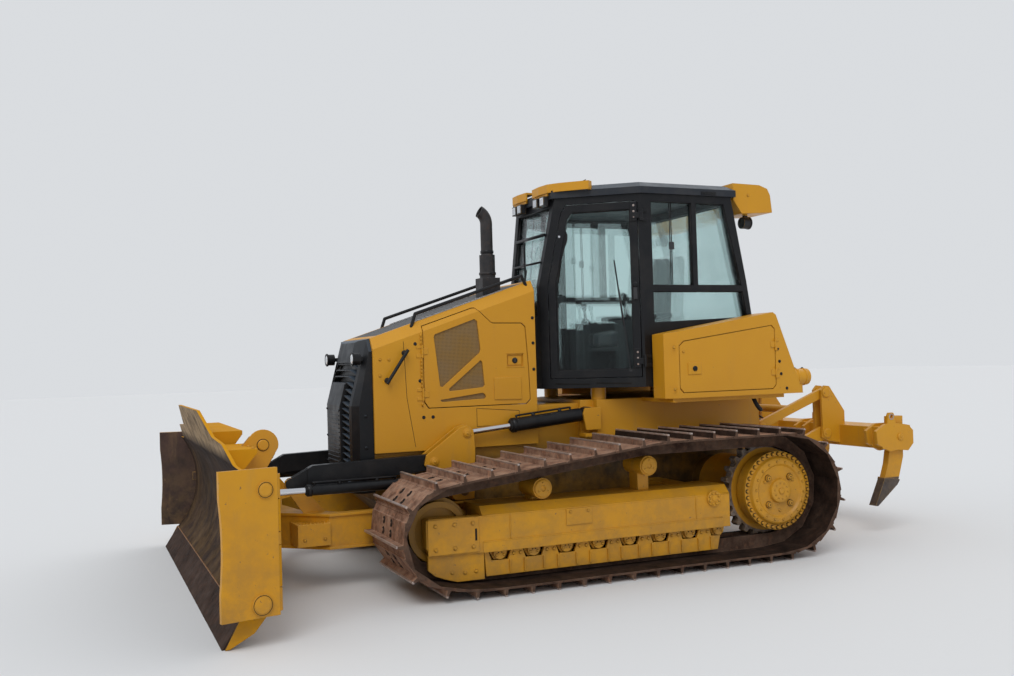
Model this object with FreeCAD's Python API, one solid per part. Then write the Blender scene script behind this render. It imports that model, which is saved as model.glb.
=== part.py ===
# Crawler bulldozer with an angle and tilt blade, side wings and a rear ripper.
# X points forward, Y to the machine's left and Z up. Lengths are in millimetres.
# The origin is on the ground, midway between the blade's wings and the ripper beam.
import FreeCAD, Part
import os
from math import atan2, cos, degrees, hypot, pi, radians, sin

V = FreeCAD.Vector

# Running clearances
seat_gap = 0.3          # between a fixed piece and what it rests on
pin_gap = 0.3           # radial, a pin in its bore
side_gap = 2.0          # between a hinged eye and the plate beside it
door_gap = 6.0          # round the edge of a door
hinge_knuckle = 46.0

# Tracks
track_gauge = 2165.0
shoe_width = 762.0
shoe_thickness = 15.0
grouser_height = 49.0
grouser_root = 26.0
grouser_tip = 12.0
shoe_groove = 8.0
nominal_pitch = 194.4
link_above_pin = 50.0
link_below_pin = 51.0
link_strand_width = 45.0
link_strand_inset = 62.0
idler_x = 1425.0
idler_z = 420.0
idler_pin_radius = 276.0
idler_tread_radius = 206.0
sprocket_x = -1306.0
sprocket_z = 500.0
sprocket_pin_radius = 386.0
ground_front_x = 1180.0
crest_x = -193.0

# Track frames and rollers
frame_box_inner_y = track_gauge / 2 - 202.5
frame_box_outer_y = track_gauge / 2 + 202.5
frame_front_x = 1540.0
frame_rear_x = -850.0
frame_low_z = 272.0
frame_side_plate = 46.0
frame_ledge_z = 345.0
roller_guard_low = 105.0
roller_guard_top = 206.0
roller_cap_radius = 46.0
roller_radius = 92.0
roller_count = 8
roller_front_x = 1010.0
roller_rear_x = -760.0
carrier_radius = 72.0
carrier_front_x = 663.0
hub_radius = 300.0
hub_face_y = track_gauge / 2 + 217.5

# Main frame, lift linkage and push arms stand side by side within the tracks
arm_inner_y = track_gauge / 2 - shoe_width / 2 - 101.5
frame_half_width = arm_inner_y - 180
belly_z = 380.0
frame_top_z = 900.0
frame_nose_x = 1640.0
frame_tail_x = -1700.0
case_half_width = arm_inner_y - 60
case_top_z = 1225.0
case_front_x = -40.0
cab_mount_radius = 60.0

# Hood and radiator guard
hood_half_width = 460.0
hood_wall = 25.0
hood_front_x = 1640.0
hood_rear_x = 330.0
hood_bottom_z = 905.0
hood_front_z = 1750.0
hood_rear_z = 2180.0
hood_bevel_drop = 85.0
hood_bevel_in = 65.0
guard_half_width = 440.0
guard_front_half = 385.0
guard_front_x = 1828.0
guard_knee_z = 1256.0
guard_top_x = 1699.0
guard_top_z = 1735.0
guard_centre_half = 200.0
guard_bottom_z = 620.0
guard_wall = 40.0
louvre_pitch = 47.0
guard_facet_back = 38.0
guard_corner_back = 82.0
hood_hinge = (1262.0, 468.5)

# Cab
cab_floor_z = 1320.0
cab_roof_z = 2930.0
cab_roof_under_z = cab_roof_z - 95
cab_wall = 60.0
cab_front_x = 205.0
cab_front_half = 290.0
cab_hinge_x = -450.0
cab_half_width = 800.0
cab_rear_x = -1500.0
cab_rear_top_x = -1310.0
roof_front_x = cab_front_x - 108
cab_rear_half = 780.0
door_thickness = 50.0

# Rear fenders
fender_front_x = -510.0
fender_rear_x = -1760.0
fender_top_front_z = 1724.0
fender_top_rear_z = 1880.0
fender_bottom_z = 1228.0
fender_outer_y = 1050.0
fender_inner_y = 812.0
fender_hinge = (-1497.0, 1057.0)

# Lift linkage, in the plane of the machine's side
c_frame_pivot = (550.0, 420.0)
lever_pivot = (1000.0, 600.0)
lever_link_pin = (1230.0, 830.0)
lever_cylinder_pin = (968.0, 1025.0)
link_front_pin = (2270.0, 740.0)
lift_barrel_pin = (-60.0, 1120.0)
lever_inner_y = arm_inner_y - 132
lever_plate = 20.0
lever_outer_y = arm_inner_y - 33
link_width = 64.0
link_lug = 26.0
lift_barrel_radius = 52.0
lift_rod_radius = 22.0
lift_barrel_length = 650.0

# C-frame
arm_outer_y = arm_inner_y + 88
arm_bottom_z = 284.0
arm_top_z = 530.0
arm_flange = 18.0
nose_x = 2470.0
nose_boss_radius = 70.0
nose_pin_radius = 40.0
nose_boss_low = 300.0
nose_boss_high = 562.0
trunnion_radius = 45.0

# Blade
blade_half_width = 1840.0
edge_tip_x = 2930.0
edge_top_x = 2820.0
edge_top_z = 170.0
edge_thickness = 28.0
moldboard_deep = (2655.0, 570.0)
moldboard_knee = (2795.0, 985.0)
moldboard_top = (2905.0, 1285.0)
moldboard_plate = 22.0
blade_back_x = 2595.0
wing_hinge_x = 2620.0
wing_length = 338.0
wing_plate = 30.0
wing_bottom_z = 175.0
wing_top_z = 1000.0
wing_splay = 12.0

# Angle cylinders
angle_rear_pin = (1420.0, arm_inner_y + 45)
angle_front_pin = (2525.0, arm_inner_y + 45)
angle_cylinder_z = 700.0
angle_barrel_radius = 38.0
angle_rod_radius = 22.0
angle_barrel_length = 770.0
angle_eye_half = 22.0
angle_plate_gap = 26.0
angle_plate = 18.0
angle_pin_radius = 17.0
angle_ball_radius = 34.0

# Tilt cylinder
tilt_x = 2490.0
tilt_anchor_y = -30.0
tilt_anchor_z = 950.0
tilt_eye_y = 800.0
tilt_eye_z = 1030.0
tilt_barrel_radius = 48.0
tilt_rod_radius = 25.0
tilt_barrel_length = 460.0
roll_z = 420.0
roll_pin_radius = 62.0
roll_pin_front_x = 2632.0
tilt_eye_half = 28.0

# Ripper
ripper_lower_pin = (-1780.0, 560.0)
ripper_upper_pin = (-1780.0, 920.0)
ripper_reach = (-690.0, 270.0)
ripper_side_y = 430.0
ripper_plate = 40.0
beam_rear_x = -2950.0
beam_front_x = -2610.0
beam_half_width = 1000.0
beam_bottom_z = 690.0
beam_top_z = 900.0
shank_y = (-925.0, 0.0, 925.0)
shank_thickness = 62.0
shank_tip_z = 240.0
shank_point_z = 465.0
pocket_half = 75.0
pocket_cheek = 32.0
eye_x = -2715.0
eye_y = 1000.0 - 12.5
eye_z = 985.0
eye_thickness = 25.0
eye_hole_radius = 18.0
ripper_barrel_pin = (-1765.0, 1090.0)
ripper_rod_pin = (-2330.0, 775.0)
ripper_barrel_radius = 55.0
ripper_rod_radius = 27.0
ripper_barrel_length = 468.0

parts = {}


def keep(name, shape):
    parts[name] = shape


def box(x0, x1, y0, y1, z0, z1):
    return Part.makeBox(x1 - x0, y1 - y0, z1 - z0, V(x0, y0, z0))


def face(points):
    return Part.Face(Part.makePolygon(points + [points[0]]))


def prism_xz(points, y0, y1):
    outline = [V(x, y0, z) for x, z in points]
    return face(outline).extrude(V(0, y1 - y0, 0))


def prism_xy(points, z0, z1):
    outline = [V(x, y, z0) for x, y in points]
    return face(outline).extrude(V(0, 0, z1 - z0))


def prism_yz(points, x0, x1):
    outline = [V(x0, y, z) for y, z in points]
    return face(outline).extrude(V(x1 - x0, 0, 0))


def rod(start, end, radius):
    axis = V(*end) - V(*start)
    return Part.makeCylinder(radius, axis.Length, V(*start), axis)


def cross_pin(x, z, y0, y1, radius):
    return Part.makeCylinder(radius, y1 - y0, V(x, y0, z), V(0, 1, 0))


def upright_pin(x, y, z0, z1, radius):
    return Part.makeCylinder(radius, z1 - z0, V(x, y, z0), V(0, 0, 1))


def upright_disc(x0, x1, z, radius):
    return rod((x0, 0, z), (x1, 0, z), radius)


def fuse(shapes):
    first = shapes[0]
    if len(shapes) == 1:
        return first
    return first.multiFuse(shapes[1:]).removeSplitter()


def hinge_leaves(axis_x, axis_y, heights, radius, pin_radius, moving_leaf, fixed_leaf):
    # knuckles of a door hinge: each leaf is X and Y limits of the plate beside the axis
    moving = []
    fixed = []
    bores = []
    for z in heights:
        moving.append(upright_pin(axis_x, axis_y, z, z + hinge_knuckle, radius))
        if moving_leaf:
            moving.append(box(*moving_leaf, z, z + hinge_knuckle))
        for z0 in (z - hinge_knuckle / 2 - 0.5, z + hinge_knuckle + 0.5):
            fixed.append(upright_pin(axis_x, axis_y, z0, z0 + hinge_knuckle / 2, radius))
            fixed.append(box(*fixed_leaf, z0, z0 + hinge_knuckle / 2))
        low, high = z - hinge_knuckle / 2, z + hinge_knuckle * 1.5
        fixed.append(upright_pin(axis_x, axis_y, low, high, pin_radius))
        bores.append(upright_pin(axis_x, axis_y, low, high, pin_radius + pin_gap))
    return moving, fixed, Part.makeCompound(bores)


def mirrored(shape):
    return shape.mirror(V(0, 0, 0), V(0, 1, 0))


def keep_pair(name, left_shape):
    keep(name + "_left", left_shape)
    keep(name + "_right", mirrored(left_shape))


def loft_yz(sections):
    wires = []
    for x_of, points in sections:
        outline = [V(x_of, y, z) for y, z in points]
        wires.append(Part.makePolygon(outline + [outline[0]]))
    return Part.makeLoft(wires, True, True)


# The track's pin line: sprocket, ground, idler and the crest over the rear carrier roller

def pin_line():
    tip_offset = grouser_height + shoe_thickness + link_above_pin
    sprocket = (sprocket_x, sprocket_z, sprocket_pin_radius)
    idler = (idler_x, idler_z, idler_pin_radius)
    ground_z = tip_offset
    crest_z = sprocket_z + sprocket_pin_radius
    knee = (ground_front_x, ground_z)
    crest = (crest_x, crest_z)

    def tangent_angle(circle, point, upper):
        dx = point[0] - circle[0]
        dz = point[1] - circle[1]
        reach = hypot(dx, dz)
        swing = atan2((reach ** 2 - circle[2] ** 2) ** 0.5, circle[2])
        base = atan2(dz, dx)
        return base - swing if upper else base + swing

    low_angle = tangent_angle(idler, knee, False)
    top_angle = tangent_angle(idler, crest, True)
    runs = [("line", (sprocket_x, ground_z), knee)]
    on_idler = (idler[0] + idler[2] * cos(low_angle), idler[1] + idler[2] * sin(low_angle))
    off_idler = (idler[0] + idler[2] * cos(top_angle), idler[1] + idler[2] * sin(top_angle))
    runs.append(("line", knee, on_idler))
    start = low_angle if low_angle < 0 else low_angle - 2 * pi
    end = top_angle if top_angle > 0 else top_angle + 2 * pi
    runs.append(("arc", idler, start, end))
    runs.append(("line", off_idler, crest))
    runs.append(("line", crest, (sprocket_x, crest_z)))
    runs.append(("arc", sprocket, pi / 2, 3 * pi / 2))
    return runs


def run_length(run):
    if run[0] == "line":
        return hypot(run[2][0] - run[1][0], run[2][1] - run[1][1])
    return run[1][2] * (run[3] - run[2])


def point_on(runs, distance):
    for run in runs:
        length = run_length(run)
        if distance <= length:
            share = distance / length
            if run[0] == "line":
                (x0, z0), (x1, z1) = run[1], run[2]
                return x0 + share * (x1 - x0), z0 + share * (z1 - z0)
            centre_x, centre_z, radius = run[1]
            turn = run[2] + share * (run[3] - run[2])
            return centre_x + radius * cos(turn), centre_z + radius * sin(turn)
        distance -= length
    return point_on(runs, 0.0)


def track_pins():
    runs = pin_line()
    total = sum(run_length(run) for run in runs)
    count = int(total / nominal_pitch + 0.5)
    return [point_on(runs, total * i / count) for i in range(count)]


def make_track():
    pins = track_pins()
    count = len(pins)
    plate_in = link_above_pin
    plate_out = plate_in + shoe_thickness
    tip_out = plate_out + grouser_height
    groove = plate_out - shoe_groove
    # share of the pitch along the shoe, height above the pin line
    shoe_profile = [(0.012, groove), (0.02, plate_out), (0.10, plate_out),
                    (0.10 + 0.5 * (grouser_root - grouser_tip) / nominal_pitch, tip_out),
                    (0.10 + 0.5 * (grouser_root + grouser_tip) / nominal_pitch, tip_out),
                    (0.10 + grouser_root / nominal_pitch, plate_out),
                    (0.98, plate_out), (0.988, groove)]
    link_profile = [(0.14, -link_below_pin), (0.86, -link_below_pin)]
    shoe_line = []
    web_line = []
    rail_line = []
    for i in range(count):
        x0, z0 = pins[i]
        x1, z1 = pins[(i + 1) % count]
        length = hypot(x1 - x0, z1 - z0)
        along = ((x1 - x0) / length, (z1 - z0) / length)
        out = (along[1], -along[0])

        def place(share, height):
            step = share * length
            return x0 + along[0] * step + out[0] * height, z0 + along[1] * step + out[1] * height

        shoe_line += [place(s, h) for s, h in shoe_profile]
        web_line.append(place(0.5, plate_in))
        rail_line += [place(s, h) for s, h in link_profile]
    half = shoe_width / 2
    middle = track_gauge / 2
    shoes = prism_xz(shoe_line, middle - half, middle + half)
    shoes = shoes.cut(prism_xz(web_line, middle - half - 1, middle + half + 1))
    strands = []
    for side in (-1, 1):
        centre = middle + side * (link_strand_inset + link_strand_width / 2)
        y0 = centre - link_strand_width / 2
        outer = prism_xz(web_line, y0, y0 + link_strand_width)
        inner = prism_xz(rail_line, y0 - 1, y0 + link_strand_width + 1)
        strands.append(outer.cut(inner))
    return fuse([shoes] + strands)


def rail_height(x):
    # underside of the chain on the top run between the idler and the crest
    runs = pin_line()
    (x0, z0), (x1, z1) = runs[3][1], runs[3][2]
    if x < x1:
        return z1 - link_below_pin
    share = (x - x0) / (x1 - x0)
    return z0 + share * (z1 - z0) - link_below_pin


def make_idler():
    middle = track_gauge / 2
    rim = link_strand_inset + link_strand_width
    radius = idler_tread_radius
    # Y from the track's middle, radius
    section = [(-rim, 60), (-rim, radius), (-link_strand_inset + 4, radius),
               (-link_strand_inset + 10, radius + 26), (link_strand_inset - 10, radius + 26),
               (link_strand_inset - 4, radius), (rim, radius), (rim, 60)]
    outline = [V(idler_x, middle + y, idler_z + r) for y, r in section]
    wheel = face(outline).revolve(V(idler_x, middle, idler_z), V(0, 1, 0), 360)
    dish = []
    for side in (-1, 1):
        y0 = middle + side * rim
        ring = cross_pin(idler_x, idler_z, y0 - 25, y0 + 25, radius - 40)
        ring = ring.cut(cross_pin(idler_x, idler_z, y0 - 25, y0 + 25, 95))
        dish.append(ring)
    wheel = wheel.cut(Part.makeCompound(dish))
    shaft = cross_pin(idler_x, idler_z, middle - rim - 70, middle + rim + 70, 60)
    return fuse([wheel, shaft])


def make_sprocket():
    middle = track_gauge / 2
    teeth = 25
    root = sprocket_pin_radius - 48
    tip = sprocket_pin_radius - 12
    outline = []
    for i in range(teeth):
        base = 2 * pi * i / teeth
        for share, radius in ((-0.30, root), (-0.14, tip), (0.14, tip), (0.30, root)):
            turn = base + share * 2 * pi / teeth
            outline.append((sprocket_x + radius * cos(turn), sprocket_z + radius * sin(turn)))
    ring = prism_xz(outline, middle - 36, middle + 36)
    inner = frame_half_width + 130
    # Y, radius of the final drive's turned housing
    drive = [(inner, 0), (inner, 235), (middle + 60, 235), (middle + 60, 285), (hub_face_y - 70, 285),
             (hub_face_y - 62, hub_radius),
             (hub_face_y - 34, hub_radius), (hub_face_y - 30, 262), (hub_face_y - 6, 250),
             (hub_face_y, 238), (hub_face_y, 205),
             (hub_face_y - 14, 190), (hub_face_y - 14, 96), (hub_face_y + 12, 88), (hub_face_y + 16, 74),
             (hub_face_y + 16, 0)]
    profile = face([V(sprocket_x, y, sprocket_z + r) for y, r in drive])
    housing = profile.revolve(V(sprocket_x, middle, sprocket_z), V(0, 1, 0), 360)
    bosses = [cross_pin(sprocket_x + 142 * cos(radians(a)), sprocket_z + 142 * sin(radians(a)),
                        hub_face_y - 20, hub_face_y + 2, 24)
              for a in (45, 135, 225, 315)]
    return fuse([ring, housing] + bosses)


def make_rollers():
    middle = track_gauge / 2
    rollers = []
    ground_rail = grouser_height + shoe_thickness + link_above_pin + link_below_pin
    step = (roller_front_x - roller_rear_x) / (roller_count - 1)
    rim = link_strand_inset + link_strand_width
    for i in range(roller_count):
        x = roller_front_x - i * step
        z = ground_rail + roller_radius + seat_gap
        body = cross_pin(x, z, middle - rim, middle + rim, roller_radius)
        groove = cross_pin(x, z, middle - link_strand_inset + 12, middle + link_strand_inset - 12,
                           roller_radius + 1)
        groove = groove.cut(cross_pin(x, z, middle - link_strand_inset, middle + link_strand_inset,
                                      roller_radius - 28))
        shaft = cross_pin(x, z, middle - rim - 42, middle + rim + 42, 34)
        rollers.append(fuse([body.cut(groove), shaft]))
    for x in (carrier_front_x, crest_x):
        z = rail_height(x) - carrier_radius - 3
        body = cross_pin(x, z, middle - rim, middle + rim + 40, carrier_radius)
        post = box(x - 45, x + 45, middle - 60, middle + 60, track_frame_top() + seat_gap,
                   z - carrier_radius + 20)
        rollers.append(fuse([body, post]))
    return Part.makeCompound(rollers)


def track_frame_top():
    return 578.0


def make_track_frame():
    middle = track_gauge / 2
    rim = link_strand_inset + link_strand_width
    over_rollers = 2 * link_above_pin + grouser_height + shoe_thickness + 2 * roller_radius + 13
    top = track_frame_top()
    y0, y1 = frame_box_inner_y, frame_box_outer_y
    ridge = 60.0
    wall = frame_side_plate
    beam_front = idler_x - idler_pin_radius - 8
    # Y, Z of the section: a box beam whose side plates reach down past the rollers
    section = [(y0, frame_low_z), (y0 + wall, frame_low_z), (y0 + wall, over_rollers),
               (y1 - wall, over_rollers),
               (y1 - wall, frame_low_z), (y1, frame_low_z), (y1, top - ridge), (y1 - ridge, top),
               (y0 + ridge, top),
               (y0, top - ridge)]
    pieces = [prism_yz(section, frame_rear_x, beam_front)]
    for side in (-1, 1):
        inner = middle + side * (rim + 6)
        outer = y1 if side > 0 else y0
        cheek = prism_xz([(beam_front - 1, frame_low_z), (frame_front_x - 30, frame_low_z + 8),
                          (frame_front_x, frame_low_z + 60),
                          (frame_front_x, idler_z + 95), (frame_front_x - 20, idler_z + 106),
                          (beam_front - 1, top - ridge)],
                         min(inner, outer), max(inner, outer))
        pieces.append(cheek.cut(cross_pin(idler_x, idler_z, middle - 400, middle + 400, 60 + seat_gap)))
        # roller guard and the lower guard ahead of it
        guard_y = outer - side * 48
        guard = [(roller_rear_x - 30, frame_low_z + 1), (roller_rear_x + 10, roller_guard_low),
                 (beam_front - 30, roller_guard_low), (beam_front - 18, frame_low_z + 1)]
        g0, g1 = sorted((guard_y, guard_y + side * 22))
        front = [(beam_front - 12, frame_low_z + 1), (beam_front - 12, 92), (frame_front_x - 215, 92),
                 (frame_front_x - 125, 120),
                 (frame_front_x - 60, 146), (frame_front_x - 14, 185),
                 (frame_front_x - 14, frame_low_z + 12)]
        step = (roller_front_x - roller_rear_x) / (roller_count - 1)
        gaps = []
        for i in range(roller_count):
            x = roller_front_x - i * step
            gaps.append(prism_xz([(x - 84, frame_low_z), (x - 62, roller_guard_top),
                                  (x + 62, roller_guard_top),
                                  (x + 84, frame_low_z)], g0 - 1, g1 + 1))
        pieces.append(prism_xz(guard, g0, g1).cut(Part.makeCompound(gaps)))
        f0, f1 = sorted((guard_y, guard_y + side * 30))
        pieces.append(prism_xz(front, f0, f1))
    saddles = []
    bores = []
    step = (roller_front_x - roller_rear_x) / (roller_count - 1)
    axle_z = grouser_height + shoe_thickness + link_above_pin + link_below_pin + roller_radius + seat_gap
    for i in range(roller_count):
        x = roller_front_x - i * step
        for a in (middle - rim - 46, middle + rim + 8):
            saddles.append(prism_xz([(x - 62, frame_low_z + 60), (x - 62, axle_z - 8),
                                     (x - 36, axle_z - 48), (x + 36, axle_z - 48),
                                     (x + 62, axle_z - 8), (x + 62, frame_low_z + 60)], a, a + 38))
        for side in (-1, 1):
            c0, c1 = sorted((middle + side * (rim + 45), middle + side * (rim + 74)))
            saddles.append(cross_pin(x, axle_z, c0, c1, roller_cap_radius))
        bores.append(cross_pin(x, axle_z, middle - rim - 60, middle + rim + 60, 34 + pin_gap))
    pieces = [fuse(pieces + saddles).cut(Part.makeCompound(bores))]
    for side in (-1, 1):
        # plates that join the saddles to the side plates
        a, b = sorted((middle + side * (rim + 30), middle + side * (frame_box_outer_y - middle - 10)))
        pieces.append(box(roller_rear_x - 70, roller_front_x + 80, a, b, axle_z + 38, over_rollers + 2))
    # bolted covers on the outer face, and the pivot's cap
    pieces.append(box(1172, frame_front_x - 8, y1 - 1, y1 + 10, 285, 518))
    pieces.append(box(315, 513, y1 - 1, y1 + 8, 400, 512))
    pieces.append(box(frame_rear_x + 70, beam_front, y1 - 1, y1 + 8, frame_low_z, frame_ledge_z))
    pieces.append(cross_pin(-706, 490, y1 - 1, y1 + 16, 58))
    pieces.append(box(-760, -600, frame_half_width + seat_gap, y0 + 1, 430, 560))
    hub_room = cross_pin(sprocket_x, sprocket_z, middle - 400, middle + 400, sprocket_pin_radius + 25)
    return fuse(pieces).cut(hub_room)


def make_undercarriage():
    keep_pair("track", make_track())
    keep_pair("idler", make_idler())
    keep_pair("sprocket", make_sprocket())
    keep_pair("rollers", make_rollers())
    keep_pair("track_frame", make_track_frame())


def make_main_frame():
    w = frame_half_width
    tub = prism_xz([(frame_tail_x, belly_z), (frame_nose_x - 200, belly_z), (frame_nose_x, belly_z + 180),
                    (frame_nose_x, frame_top_z), (frame_tail_x, frame_top_z)], -w, w)
    case = box(frame_tail_x, case_front_x, -case_half_width, case_half_width, frame_top_z - 60, case_top_z)
    for side in (-1, 1):
        y0, y1 = sorted((side * lever_inner_y, side * arm_inner_y))
        case = case.cut(box(case_front_x - 110, case_front_x + 5, y0, y1, 970, case_top_z + 5))
    axle = cross_pin(sprocket_x, sprocket_z, -w - 130 + seat_gap, w + 130 - seat_gap, 215)
    pieces = [tub, case, axle]
    pieces.append(box(case_front_x - 1, hood_rear_x - 6, -w, w, frame_top_z - 1, 1200))
    for x in (-220, -1300):
        for y in (-440, 440):
            pieces.append(upright_pin(x, y, case_top_z - 1, cab_floor_z - seat_gap, cab_mount_radius))
    for side in (-1, 1):
        trunnion_end = side * (arm_outer_y + 6)
        pieces.append(cross_pin(c_frame_pivot[0], c_frame_pivot[1], min(side * (w - 10), trunnion_end),
                                max(side * (w - 10), trunnion_end), trunnion_radius))
        lever_end = side * (lever_outer_y + lever_plate + 2)
        pieces.append(cross_pin(lever_pivot[0], lever_pivot[1], min(side * (w - 10), lever_end),
                                max(side * (w - 10), lever_end), 35))
        # clevis that holds the lift cylinder's head end
        x, z = lift_barrel_pin
        for y in (lever_inner_y, lever_outer_y):
            ear = prism_xz([(x - 100, z - 125), (x + 30, z - 125), (x + 55, z), (x + 35, z + 48),
                            (x - 100, z + 48)],
                           side * y if side > 0 else -y - lever_plate,
                           side * y + lever_plate if side > 0 else -y)
            pieces.append(ear)
        pieces.append(cross_pin(x, z, lever_inner_y if side > 0 else -lever_outer_y - lever_plate,
                                lever_outer_y + lever_plate if side > 0 else -lever_inner_y, 28))
        y0 = lever_inner_y if side > 0 else -lever_outer_y - lever_plate
        pieces.append(box(x - 110, x + 40, y0, y0 + lever_outer_y + lever_plate - lever_inner_y, 940, 968))
        # ripper bracket plates
        y0 = side * ripper_side_y
        x0 = ripper_lower_pin[0]
        bracket = prism_xz([(frame_tail_x + 10, 460), (x0 - 30, 480), (x0 - 70, 560), (x0 - 70, 930),
                            (x0 - 20, 1000),
                            (frame_tail_x + 10, 1100)], y0 - ripper_plate / 2 - 52,
                           y0 + ripper_plate / 2 - 52)
        pieces.append(bracket)
        for px, pz in (ripper_lower_pin, ripper_upper_pin):
            pin_start = side * (ripper_side_y - 52)
            pin_end = side * (ripper_side_y + 42)
            pieces.append(cross_pin(px, pz, min(pin_start, pin_end), max(pin_start, pin_end), 32))
    # lug for the ripper cylinder
    bx, bz = ripper_barrel_pin
    for y in (-95, 65):
        pieces.append(prism_xz([(frame_tail_x + 10, bz - 90), (bx - 50, bz - 40), (bx - 50, bz + 50),
                                (frame_tail_x + 10, bz + 80)], y, y + 30))
    pieces.append(cross_pin(bx, bz, -66, 66, 30))
    keep("main_frame", fuse(pieces))
    keep("engine_block", box(480, 1440, -310, 310, frame_top_z + seat_gap, 1560))


def hood_section(x, inset):
    share = (x - hood_rear_x) / (hood_front_x - hood_rear_x)
    top = hood_rear_z + share * (hood_front_z - hood_rear_z) - inset
    w = hood_half_width - inset
    return [(-w, hood_bottom_z), (w, hood_bottom_z), (w, top - hood_bevel_drop),
            (w - hood_bevel_in, top), (-w + hood_bevel_in, top), (-w, top - hood_bevel_drop)]


def hood_top(x):
    share = (x - hood_rear_x) / (hood_front_x - hood_rear_x)
    return hood_rear_z + share * (hood_front_z - hood_rear_z)


def hood_door_outline(gap):
    # X, Z of the engine door in the hood's side, hinged on its front edge
    front, rear = 1255.0 - gap, 385.0 + gap
    seam = hood_bevel_drop / 2
    return [(1222 - gap, 1215 + gap), (front, 1262 + gap), (front, hood_top(front) - seam - gap),
            (850, hood_top(850) - seam - gap), (826, hood_top(826) - seam - 6 - gap), (704, 1858 - gap),
            (684, 1850 - gap),
            (rear + 60, 1847 - gap), (rear + 28, 1818 - gap), (rear + 8, 1500), (rear, 1248 + gap),
            (rear + 35, 1215 + gap)]


def hood_side_top(x):
    return hood_top(x) - hood_bevel_drop


def make_hood():
    outer = loft_yz([(hood_rear_x, hood_section(hood_rear_x, 0)),
                     (hood_front_x, hood_section(hood_front_x, 0))])
    inner = loft_yz([(hood_rear_x - 5, hood_section(hood_rear_x - 5, hood_wall)),
                     (hood_front_x + 5, hood_section(hood_front_x + 5, hood_wall))])
    inner = inner.fuse(box(hood_rear_x - 5, hood_front_x + 5, -hood_half_width + hood_wall,
                           hood_half_width - hood_wall, hood_bottom_z - 10, hood_bottom_z + 400))
    shell = outer.cut(inner)
    opening = prism_xz(hood_door_outline(0), -hood_half_width - 5, hood_half_width + 5)
    side_only = hood_half_width - hood_bevel_in - 5
    opening = opening.cut(box(0, 2000, -side_only, side_only, 900, 2300))
    shell = shell.cut(opening)
    hx, hy = hood_hinge
    moving, fixed, bores = hinge_leaves(hx, hy, (1300, 1620), 8, 4, (hx - 45, hx, hy - 8.5, hy - 4),
                                        (hx, hx + 45, hy - 8.5, hy - 4))
    shell = fuse([shell] + fixed + [mirrored(piece) for piece in fixed])
    deck_half = hood_half_width - hood_bevel_in - 40
    deck_cut = box(hood_rear_x + 60, hood_front_x - 60, -deck_half, deck_half, 1500, 2400)
    deck = shell.common(deck_cut)
    slot = loft_yz([(hood_rear_x - 5, hood_section(hood_rear_x - 5, -5)),
                    (hood_front_x + 5, hood_section(hood_front_x + 5, -5))]).common(deck_cut)
    shell = shell.cut(slot)
    deck = deck.common(box(hood_rear_x + 60 + seat_gap, hood_front_x - 60 - seat_gap,
                           -deck_half + seat_gap, deck_half - seat_gap, 1500, 2400))
    keep("hood", shell)
    keep("hood_deck", deck)
    # the door follows the hood's side and the lower half of its bevel
    door = outer.cut(inner).common(prism_xz(hood_door_outline(door_gap), side_only, hood_half_width + 5))
    # two panels of mesh beside a diagonal bar, and a long slot below them
    vents = [[(1166, 1750), (1158, 1768), (836, 1880), (815, 1862), (793, 1648), (802, 1622), (1105, 1372),
              (1126, 1378)],
             [(1052, 1338), (1056, 1356), (796, 1564), (782, 1552), (766, 1376), (778, 1360)],
             [(1110, 1260), (1126, 1268), (1122, 1276), (786, 1316), (768, 1306), (758, 1284), (768, 1272)]]
    mesh_frame = door
    for vent in vents:
        mesh_frame = mesh_frame.cut(prism_xz(vent, hood_half_width - 14, hood_half_width + 5))
    # latch recess and the pressed panel beneath it
    mesh_frame = mesh_frame.cut(box(440, 575, hood_half_width - 16, hood_half_width + 5, 1510, 1602))
    pressed = [box(436, 690, hood_half_width - 1, hood_half_width + 7, 1255, 1425).common(
        prism_xz([(462, 1255), (690, 1262), (694, 1425), (466, 1425)], hood_half_width - 5,
                 hood_half_width + 20))]
    mesh_frame = fuse([mesh_frame] + pressed)
    keep_pair("hood_door", fuse([mesh_frame] + moving).cut(bores))


def guard_body(inset):
    # faceted plan: a flat centre, two facets turned back and a corner; it leans back above its knee
    levels = [(guard_bottom_z, guard_front_x), (guard_knee_z, guard_front_x),
              (guard_top_z + 15, guard_top_x)]
    solid = None
    for (low, front), (high, next_front) in zip(levels[:-1], levels[1:]):
        wires = []
        for z, x in ((low, front), (high, next_front)):
            facet_x = max(x - guard_facet_back - inset, hood_front_x + 6)
            corner_x = max(x - guard_corner_back - inset, hood_front_x + 3)
            half = [(x - inset, guard_centre_half), (facet_x, guard_front_half - inset),
                    (corner_x, guard_half_width - inset),
                    (hood_front_x + seat_gap, guard_half_width - inset)]
            outline = [V(px, py, z) for px, py in half + [(px, -py) for px, py in reversed(half)]]
            wires.append(Part.makePolygon(outline + [outline[0]]))
        layer = Part.makeLoft(wires, True, True)
        solid = layer if solid is None else solid.fuse(layer)
    return solid.removeSplitter()


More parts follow.
